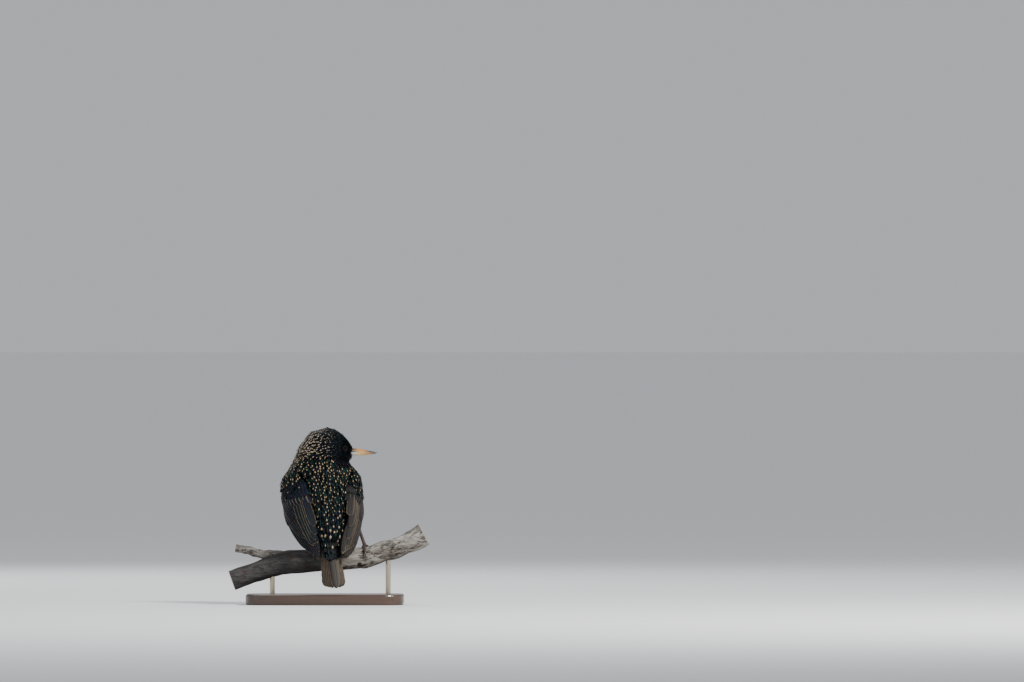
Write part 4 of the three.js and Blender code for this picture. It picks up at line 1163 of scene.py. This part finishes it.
FEET = {
    "left": {"at": -9, "heel": to_part(-13, -5, 34), "cuff": 0.62},
    "right": {"at": 39.6, "heel": to_part(28.5, -4.5, 38), "cuff": 0.3},
}
TOES = {
    "inner": {"sides": -1, "spread": 5.2, "from": 6, "to": 76, "claw": 23, "radius": 1.25},
    "middle": {"sides": 0, "spread": 0.8, "from": 6, "to": 92, "claw": 25, "radius": 1.35},
    "outer": {"sides": 1, "spread": 5.6, "from": 6, "to": 80, "claw": 23, "radius": 1.2},
    "hind": {"sides": 0, "spread": 0, "from": -8, "to": -66, "claw": -30, "radius": 1.5},
}
TOE_THICK, TOE_SINK, TOE_START_LIFT = 1.5, 0.4, 1.2
TOE_STEPS, CLAW_STEPS, CLAW_ROOT, CLAW_TIP = 54, 16, 0.88, 0.1
SOLE, SOLE_LIFT, SOLE_LONG, SHANK_THICK = 2.1, 1.6, 1.8, 1.6


def wrapped(spot, angle, aside, away):
    """A point by its angle forward from the branch's top in degrees, aside along it, away from its axis."""
    middle, tangent, up, forward, _ = spot
    turn = math.radians(angle)
    return middle + tangent * aside + up * away * math.cos(turn) + forward * away * math.sin(turn)


def foot(skin, claws, name):
    """Four toes round the branch with their claws, the sole on top of it and the bare shank above."""
    spot = perch_at(FEET[name]["at"])
    away = spot[4] + TOE_THICK - TOE_SINK
    mirror = 1 if name == "right" else -1
    sole = wrapped(spot, 0, 0, away + SOLE_LIFT)
    for size in TOES.values():
        reach = abs(size["to"] - size["from"])

        def path(angle, lift=0.0):
            share = abs(angle - size["from"]) / reach
            aside = mirror * size["sides"] * size["spread"] * math.sin(min(1.2, share) * 1.3) + 0.014 * angle
            return wrapped(spot, angle, aside, away + lift)

        line = [wrapped(spot, 0, 0, away + TOE_START_LIFT)]
        line += [path(a) for a in np.linspace(size["from"], size["to"], 8)]
        curve = Curve(line)
        shares = np.linspace(0, 1, TOE_STEPS)
        pads = 1 + 0.08 * np.cos(shares * 6 * math.pi) + 0.05 * np.sin(shares * 60)
        radii = size["radius"] * mix(1.1, 0.78, shares) * pads
        radii[-3:] *= (0.97, 0.85, 0.6)
        tube(skin, [curve.at(s) for s in shares], radii, 14, Scales=60.0)
        bend = 1 if size["claw"] > 0 else -1
        first = size["to"] - bend * 3
        hook = []
        for share in np.linspace(0, 1, CLAW_STEPS):
            arc = first + (size["claw"] + bend * 3) * share
            hook.append(path(arc, 0.9 * math.sin(math.pi * share) - 0.5 * share))
        claw_radii = mix(CLAW_ROOT, CLAW_TIP, np.linspace(0, 1, CLAW_STEPS) ** 0.8)
        tube(claws, hook, claw_radii, 10, flat=1.15)
    turns = np.linspace(-1, 1, 9)
    pad = [sole + spot[1] * t * SOLE_LONG for t in turns]
    tube(skin, pad, SOLE * np.sqrt(1.02 - turns**2), 16, Scales=9.0)
    heel, cuff = FEET[name]["heel"], FEET[name]["cuff"]
    start = mix(heel, sole, max(0.0, cuff - 0.25))
    shares = np.linspace(0, 1, 48)
    bony = 1 + 0.03 * np.sin(shares * 70) + 0.1 * smooth(shares, 0.85, 1)
    tube(skin, [mix(start, sole, s) for s in shares], SHANK_THICK * bony, 14, Scales=70.0)


# Settings


def amount(name, value, low, high, description, unit="LENGTH"):
    return FloatProperty(name=name, description=description, default=value, unit=unit, min=low, max=high)


class StarlingSizes(bpy.types.PropertyGroup):
    """Sizes of the coat that a user would change"""

    coat_depth: amount("Coat depth", 1.5 * MM, 0.0005, 0.004, "How far the feathers stand off the skin")
    closeness: amount("Feather spacing", 0.2, 0.1, 0.6, "Least gap between roots over their length", "NONE")
    skin_grain: amount("Skin grain", 0.9 * MM, 0.0005, 0.003, "Edge of the cells that fuse the skin")
    seed: IntProperty(name="Seed", description="Starts the small chances of the coat", default=SEED)


def colour(name, value, used):
    return FloatVectorProperty(name=name, description=used, subtype="COLOR", default=value, min=0, max=1)


class StarlingColours(bpy.types.PropertyGroup):
    """Colours of the bird, the branch and the stand"""

    green: colour("Green gloss", (0.005, 0.024, 0.019), "Gloss of the back")
    blue: colour("Blue gloss", (0.004, 0.011, 0.021), "Gloss of the flanks and rump")
    purple: colour("Purple gloss", (0.011, 0.007, 0.019), "Gloss of the head and breast")
    buff: colour("Buff spot", (0.45, 0.31, 0.16), "Feather tips of the upper side")
    white: colour("White spot", (0.62, 0.56, 0.46), "Feather tips of the underside")
    brown: colour("Flight brown", (0.024, 0.018, 0.016), "Wing and tail vanes")
    tail: colour("Tail grey-brown", (0.075, 0.066, 0.054), "Middle feathers of the tail")
    edge: colour("Buff edge", (0.24, 0.18, 0.12), "Rims of the wing and tail feathers")
    bill: colour("Bill yellow", (0.52, 0.23, 0.04), "Middle of the bill")
    # Leg is darkened to paint the shade the legs stand in.
    leg: colour("Leg", (0.042, 0.022, 0.02), "Skin of the legs and toes")
    wood: colour("Branch", (0.21, 0.187, 0.156), "Weathered wood")
    stain: colour("Base stain", (0.07, 0.04, 0.026), "Stained wood of the base")


def settings():
    return bpy.context.scene.starling_sizes, bpy.context.scene.starling_colours


# Operators


EASE_STEPS, EASE_FACTOR, SHRINK_SHARE = 22, 0.5, 0.85


class STARLING_OT_skin(bpy.types.Operator):
    """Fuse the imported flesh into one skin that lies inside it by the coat's depth"""

    bl_idname = "starling.skin"
    bl_label = "Skin"

    def execute(self, context):
        sizes, colours = settings()
        mesh = Mesh()
        for name in FLESH:
            points, corners = surface_of(bpy.data.objects[name])
            mesh.add(points, corners.tolist())
        for side in SIDES.values():
            self.pad(mesh, WingPatch(side))
        piece = mesh.build("skin", skin_paint(colours), "plumage", FLESH)
        context.view_layer.objects.active = piece
        fuse = piece.modifiers.new("Fuse", "REMESH")
        fuse.mode = "VOXEL"
        fuse.voxel_size = sizes.skin_grain
        ease = piece.modifiers.new("Ease", "SMOOTH")
        ease.iterations = EASE_STEPS
        ease.factor = EASE_FACTOR
        shrink = piece.modifiers.new("Shrink", "DISPLACE")
        shrink.mid_level = 0
        shrink.strength = -sizes.coat_depth * SHRINK_SHARE
        ready = bpy.data.meshes.new_from_object(piece.evaluated_get(context.evaluated_depsgraph_get()))
        piece.modifiers.clear()
        piece.data = ready
        piece.data.name = "skin"
        for polygon in ready.polygons:
            polygon.use_smooth = True
        self.unwrap(ready)
        return {"FINISHED"}

    def pad(self, mesh, patch):
        """The wing's fleshy bed, which closes the shoulder under the small coverts."""
        rows, across = 16, 12
        places = np.linspace(0, 1, across)
        over, under = [], []
        for share in np.linspace(0, 1, rows):
            u = mix(PAD_FROM, PAD_TO, share)
            narrow = 0.16 * (1 - smooth(u, 0, 0.13)) ** 2
            v = mix(narrow, 0.985 - narrow, places)
            arch = 1 - (2 * np.abs(places - 0.5)) ** 4
            full = PAD_TOP + PAD_RISE * (1 - smooth(u, 0.08, 0.24)) * (1 - smooth(places, 0.3, 0.75))
            ends = mix(smooth(share, 0, 0.16), 1, 0.6) * (1 - smooth(share, 0.7, 1) * 0.8)
            top = mix(-0.2, full, arch) * ends
            over.append(patch.at(u, v, top))
            under.append(patch.at(u, v, np.full(across, -PAD_DEEP)))
        top, low = np.array(over), np.array(under)
        grid = np.concatenate((top.reshape(-1, 3), low.reshape(-1, 3)))
        half = rows * across
        faces = []
        for i in range(rows - 1):
            for j in range(across - 1):
                a = i * across + j
                faces.append((a, a + across, a + across + 1, a + 1))
                faces.append((half + a, half + a + 1, half + a + across + 1, half + a + across))
        for j in range(across - 1):
            last = (rows - 1) * across + j
            faces.append((j, j + 1, half + j + 1, half + j))
            faces.append((last + 1, last, half + last, half + last + 1))
        for i in range(rows - 1):
            a, b = i * across, i * across + across - 1
            faces.append((a + across, a, half + a, half + a + across))
            faces.append((b, b + across, half + b + across, half + b))
        if patch.side > 0:
            faces = [face[::-1] for face in faces]
        mesh.add(grid, faces)

    def unwrap(self, mesh):
        layer = mesh.uv_layers.new(name="OFBake")
        whole = 2 * BAKE_HALF
        places = np.array([bake_place(np.array(v.co) / MM) for v in mesh.vertices])
        for polygon in mesh.polygons:
            corners = [mesh.loops[k].vertex_index for k in polygon.loop_indices]
            around = places[corners].copy()
            around[:, 0] += whole * np.round((around[0, 0] - around[:, 0]) / whole)
            for k, place in zip(polygon.loop_indices, around):
                layer.data[k].uv = np.clip(place, 0.001, 0.999)


EYE_CLEAR, SOLE_CLEAR, WING_CLEAR, WING_BESIDE, BED_NEAR = 3.6, 15, 4.0, 9.0, 3.0
BILL_FROM, CHIN = 21.4, -12
STRAY_CHANCE, STRAY_LIFT, SPOT_LIFT, LEAST_LIFT = 0.06, 0.9, 0.25, 0.3
SHEET_DOWN, SHEET_ACROSS = 16, 9


def within(spot, centres, reach):
    return any(((spot - centre) ** 2).sum() < reach**2 for centre in centres)


def near(spot, trees, reach):
    return any(tree.find_nearest(Vector(spot), reach)[0] is not None for tree in trees)


class STARLING_OT_coat(bpy.types.Operator):
    """Set the small body feathers on the skin, each along the lie of the coat"""

    bl_idname = "starling.coat"
    bl_label = "Body feathers"

    def execute(self, context):
        sizes, colours = settings()
        rng = np.random.default_rng(sizes.seed)
        points, corners = surface_of(bpy.data.objects["skin"])
        tree = BVHTree.FromPolygons(points.tolist(), corners.tolist())
        patches = [WingPatch(side) for side in SIDES.values()]
        covers = [self.sheet(patch, start=0.4, end=0.98, high=-2.0) for patch in patches]
        shoulder = self.sheet(patches[0], start=0.1, end=PAD_TO, high=2.4)
        eyes = [eye_at(side) for side in SIDES.values()]
        soles = [perch_at(FEET[name]["at"])[0] for name in FEET]

        def where(spot, normal):
            """None where no small feather grows, else hidden (beside a wing), wing (on its bed) or body."""
            on, _, up = in_head(spot)
            if within(spot, eyes, EYE_CLEAR) or (on > BILL_FROM and up > CHIN):
                return None
            if within(spot, soles, SOLE_CLEAR) or near(spot, covers, WING_CLEAR):
                return None
            if near(spot, covers, WING_BESIDE) and normal @ BODY_FORWARD > -0.5:
                return "hidden"
            return "wing" if near(spot, [shoulder], BED_NEAR) else "body"

        closeness = sizes.closeness * 1
        coats = {}
        lift = sizes.coat_depth / MM
        for spot, kind in coat_roots(points, corners, rng, closeness, where):
            mesh = coats.setdefault(kind["piece"], Mesh())
            scale = min(1.25, 0.55 + kind["length"] / 14)
            stray = STRAY_LIFT if rng.random() < STRAY_CHANCE else 0.0
            shown = SPOT_LIFT if kind["spot"] else 0.0
            body_feather(mesh, tree, spot, kind, rng, lift * scale + LEAST_LIFT + stray + shown)
        material = plumage_paint(colours)
        for name, mesh in coats.items():
            mesh.build("plumage_" + name, material, "plumage")
            print("coat", name, len(mesh.points), "feathers", len(mesh.faces) * 2, "triangles")
        return {"FINISHED"}

    def sheet(self, patch, start, end, high):
        """A stretch of a wing's patch, to find what lies near it."""
        us, vs = np.linspace(start, end, SHEET_DOWN), np.linspace(0.08, 0.92, SHEET_ACROSS)
        points = np.concatenate([patch.at(u, vs, np.full(SHEET_ACROSS, high)) for u in us])
        corners = [i * SHEET_ACROSS + j for i in range(SHEET_DOWN - 1) for j in range(SHEET_ACROSS - 1)]
        faces = [(a, a + 1, a + SHEET_ACROSS + 1, a + SHEET_ACROSS) for a in corners]
        return BVHTree.FromPolygons(points.tolist(), faces)


class STARLING_OT_wings(bpy.types.Operator):
    """Lay the flight feathers and coverts of both wings"""

    bl_idname = "starling.wings"
    bl_label = "Wings"

    def execute(self, context):
        sizes, colours = settings()
        material = flight_paint(colours)
        for name, side in SIDES.items():
            rng = np.random.default_rng(sizes.seed + side + 5)
            mesh = Mesh()
            wing_feathers(mesh, WingPatch(side), rng)
            mesh.build("wing_feathers_" + name, material, "flight_feathers", ["wing_" + name])
        return {"FINISHED"}


class STARLING_OT_tail(bpy.types.Operator):
    """Lay the tail feathers and the coverts over and under their roots"""

    bl_idname = "starling.tail"
    bl_label = "Tail"

    def execute(self, context):
        sizes = settings()[0]
        mesh, coverts = Mesh(), Mesh()
        tail_feathers(mesh, coverts, np.random.default_rng(sizes.seed + 9))
        mesh.build("tail_feathers", bpy.data.materials["Flight feathers"], "flight_feathers", ["tail"])
        coverts.build("tail_coverts", bpy.data.materials["Plumage"], "plumage")
        return {"FINISHED"}


class STARLING_OT_face(bpy.types.Operator):
    """Make the bill and the rims of the eyes, and colour the eyes"""

    bl_idname = "starling.face"
    bl_label = "Bill and eyes"

    def execute(self, context):
        colours = settings()[1]
        horn = horn_paint(colours)
        for name, sign in (("bill_upper", 1), ("bill_lower", -1)):
            mesh = Mesh()
            bill_half(mesh, sign)
            mesh.build(name + "_horn", horn, "bill", [name])
        rim = lid_paint()
        for name, side in SIDES.items():
            mesh = Mesh()
            lid(mesh, side)
            mesh.build("eye_rim_" + name, rim, "plumage")
            eye = bpy.data.objects["eye_" + name]
            eye.data.materials.clear()
            eye.data.materials.append(eye_paint(name))
            finer = eye.modifiers.new("Finer", "SUBSURF")
            finer.levels = finer.render_levels = 2
        return {"FINISHED"}


class STARLING_OT_feet(bpy.types.Operator):
    """Wrap the toes round the perch and set their claws"""

    bl_idname = "starling.feet"
    bl_label = "Feet"

    def execute(self, context):
        colours = settings()[1]
        scaled, horn = shaded_leg_paint(colours), claw_paint()
        for name in SIDES:
            skin, claws = Mesh(), Mesh()
            foot(skin, claws, name)
            skin.build("foot_scales_" + name, scaled, "leg_skin", ["foot_" + name, "tarsus_" + name])
            claws.build("claws_" + name, horn, "claw", ["claw_%s_%s" % (name, toe) for toe in TOES])
        return {"FINISHED"}


class STARLING_OT_perch(bpy.types.Operator):
    """Carve the weathered branch and its side twig"""

    bl_idname = "starling.perch"
    bl_label = "Perch"

    def execute(self, context):
        colours = settings()[1]
        mesh = Mesh()
        # The last value is how strongly each limb takes the painted shade on its left part.
        limb(mesh, PERCH_LINE, PERCH_RADII, steps=260, sides=84, rough=0.35, seed=3.0, shade=1.0)
        limb(mesh, TWIG_LINE, TWIG_RADII, steps=90, sides=40, rough=0.2, seed=8.0, shade=0.45)
        mesh.build("branch", wood_paint(colours), "branch", ["perch"])
        return {"FINISHED"}


class STARLING_OT_stand(bpy.types.Operator):
    """Finish the base and its rods"""

    bl_idname = "starling.stand"
    bl_label = "Stand"

    def execute(self, context):
        colours = settings()[1]
        rod = rod_paint()
        finishes = {"stand_base": base_paint(colours), "stand_rod_left": rod, "stand_rod_right": rod}
        for name, material in finishes.items():
            piece = bpy.data.objects[name]
            piece.data.materials.clear()
            piece.data.materials.append(material)
            if name != "stand_base":
                round_off = piece.modifiers.new("Finer", "BEVEL")
                round_off.width = 0.2 * MM
        return {"FINISHED"}


PHOTO_CENTRE = (177.65, 0, 250.35)
LENS, SENSOR, PHOTO_WIDE = 500, 36, 972.8
FLOOR_RADIUS, FLOOR_SIDES = 300, 96
AIR, AIR_LIGHT, LIGHTS_AIM = (0.8, 0.83, 0.88, 1), 0.6, (0, 0, 0.1)
# Each light's place in metres, size and power
LIGHTS = {
    "key": ((1.3, -1.2, 1.5), 0.4, 52), "fill": ((-1.6, -1.2, 0.8), 1.6, 5),
    "back": ((-0.6, 1.6, 1.3), 1.2, 16),
}


class STARLING_OT_studio(bpy.types.Operator):
    """Set the pale floor, the soft lights and the camera"""

    bl_idname = "starling.studio"
    bl_label = "Studio"

    def execute(self, context):
        scene = context.scene
        mesh = bpy.data.meshes.new("floor")
        turns = np.linspace(0, 2 * math.pi, FLOOR_SIDES, endpoint=False)
        rim = [(math.cos(t) * FLOOR_RADIUS, math.sin(t) * FLOOR_RADIUS, 0) for t in turns]
        mesh.from_pydata(rim, [], [tuple(range(FLOOR_SIDES))])
        floor = bpy.data.objects.new("floor", mesh)
        scene.collection.objects.link(floor)
        mesh.materials.append(floor_paint())
        world = bpy.data.worlds.new("Pale studio")
        scene.world = world
        world.use_nodes = True
        background = world.node_tree.nodes["Background"]
        background.inputs[0].default_value = AIR
        background.inputs[1].default_value = AIR_LIGHT
        for name, (spot, size, power) in LIGHTS.items():
            light = bpy.data.lights.new(name, "AREA")
            light.size = size
            light.energy = power
            lamp = bpy.data.objects.new(name, light)
            lamp.location = spot
            lamp.rotation_euler = (Vector(LIGHTS_AIM) - lamp.location).to_track_quat("-Z", "Y").to_euler()
            scene.collection.objects.link(lamp)
        lens = bpy.data.cameras.new("camera")
        lens.lens = LENS
        lens.sensor_width = SENSOR
        lens.clip_end = 400
        camera = bpy.data.objects.new("camera", lens)
        x, y, z = (v * MM for v in PHOTO_CENTRE)
        camera.location = (x, y - PHOTO_WIDE * MM * LENS / SENSOR, z)
        camera.rotation_euler = (math.pi / 2, 0, 0)
        scene.collection.objects.link(camera)
        scene.camera = camera
        return {"FINISHED"}


class STARLING_PT_panel(bpy.types.Panel):
    """Lists the starling's settings and the steps that build it"""

    bl_label = "Starling"
    bl_idname = "STARLING_PT_panel"
    bl_space_type = "VIEW_3D"
    bl_region_type = "UI"
    bl_category = "Starling"

    def draw(self, context):
        for group in (context.scene.starling_sizes, context.scene.starling_colours):
            column = self.layout.column(align=True)
            for key in group.__annotations__:
                column.prop(group, key)
        for step in STEPS:
            self.layout.operator(step.bl_idname)


STEPS = (
    STARLING_OT_skin, STARLING_OT_coat, STARLING_OT_wings, STARLING_OT_tail, STARLING_OT_face,
    STARLING_OT_feet, STARLING_OT_perch, STARLING_OT_stand, STARLING_OT_studio,
)
CLASSES = (StarlingSizes, StarlingColours, *STEPS, STARLING_PT_panel)


def register():
    for item in CLASSES:
        bpy.utils.register_class(item)
    bpy.types.Scene.starling_sizes = PointerProperty(type=StarlingSizes)
    bpy.types.Scene.starling_colours = PointerProperty(type=StarlingColours)


def unregister():
    del bpy.types.Scene.starling_colours
    del bpy.types.Scene.starling_sizes
    for item in reversed(CLASSES):
        bpy.utils.unregister_class(item)


def main():
    register()
    for step in STEPS:
        group, name = step.bl_idname.split(".")
        getattr(getattr(bpy.ops, group), name)()


if __name__ == "__main__":
    main()
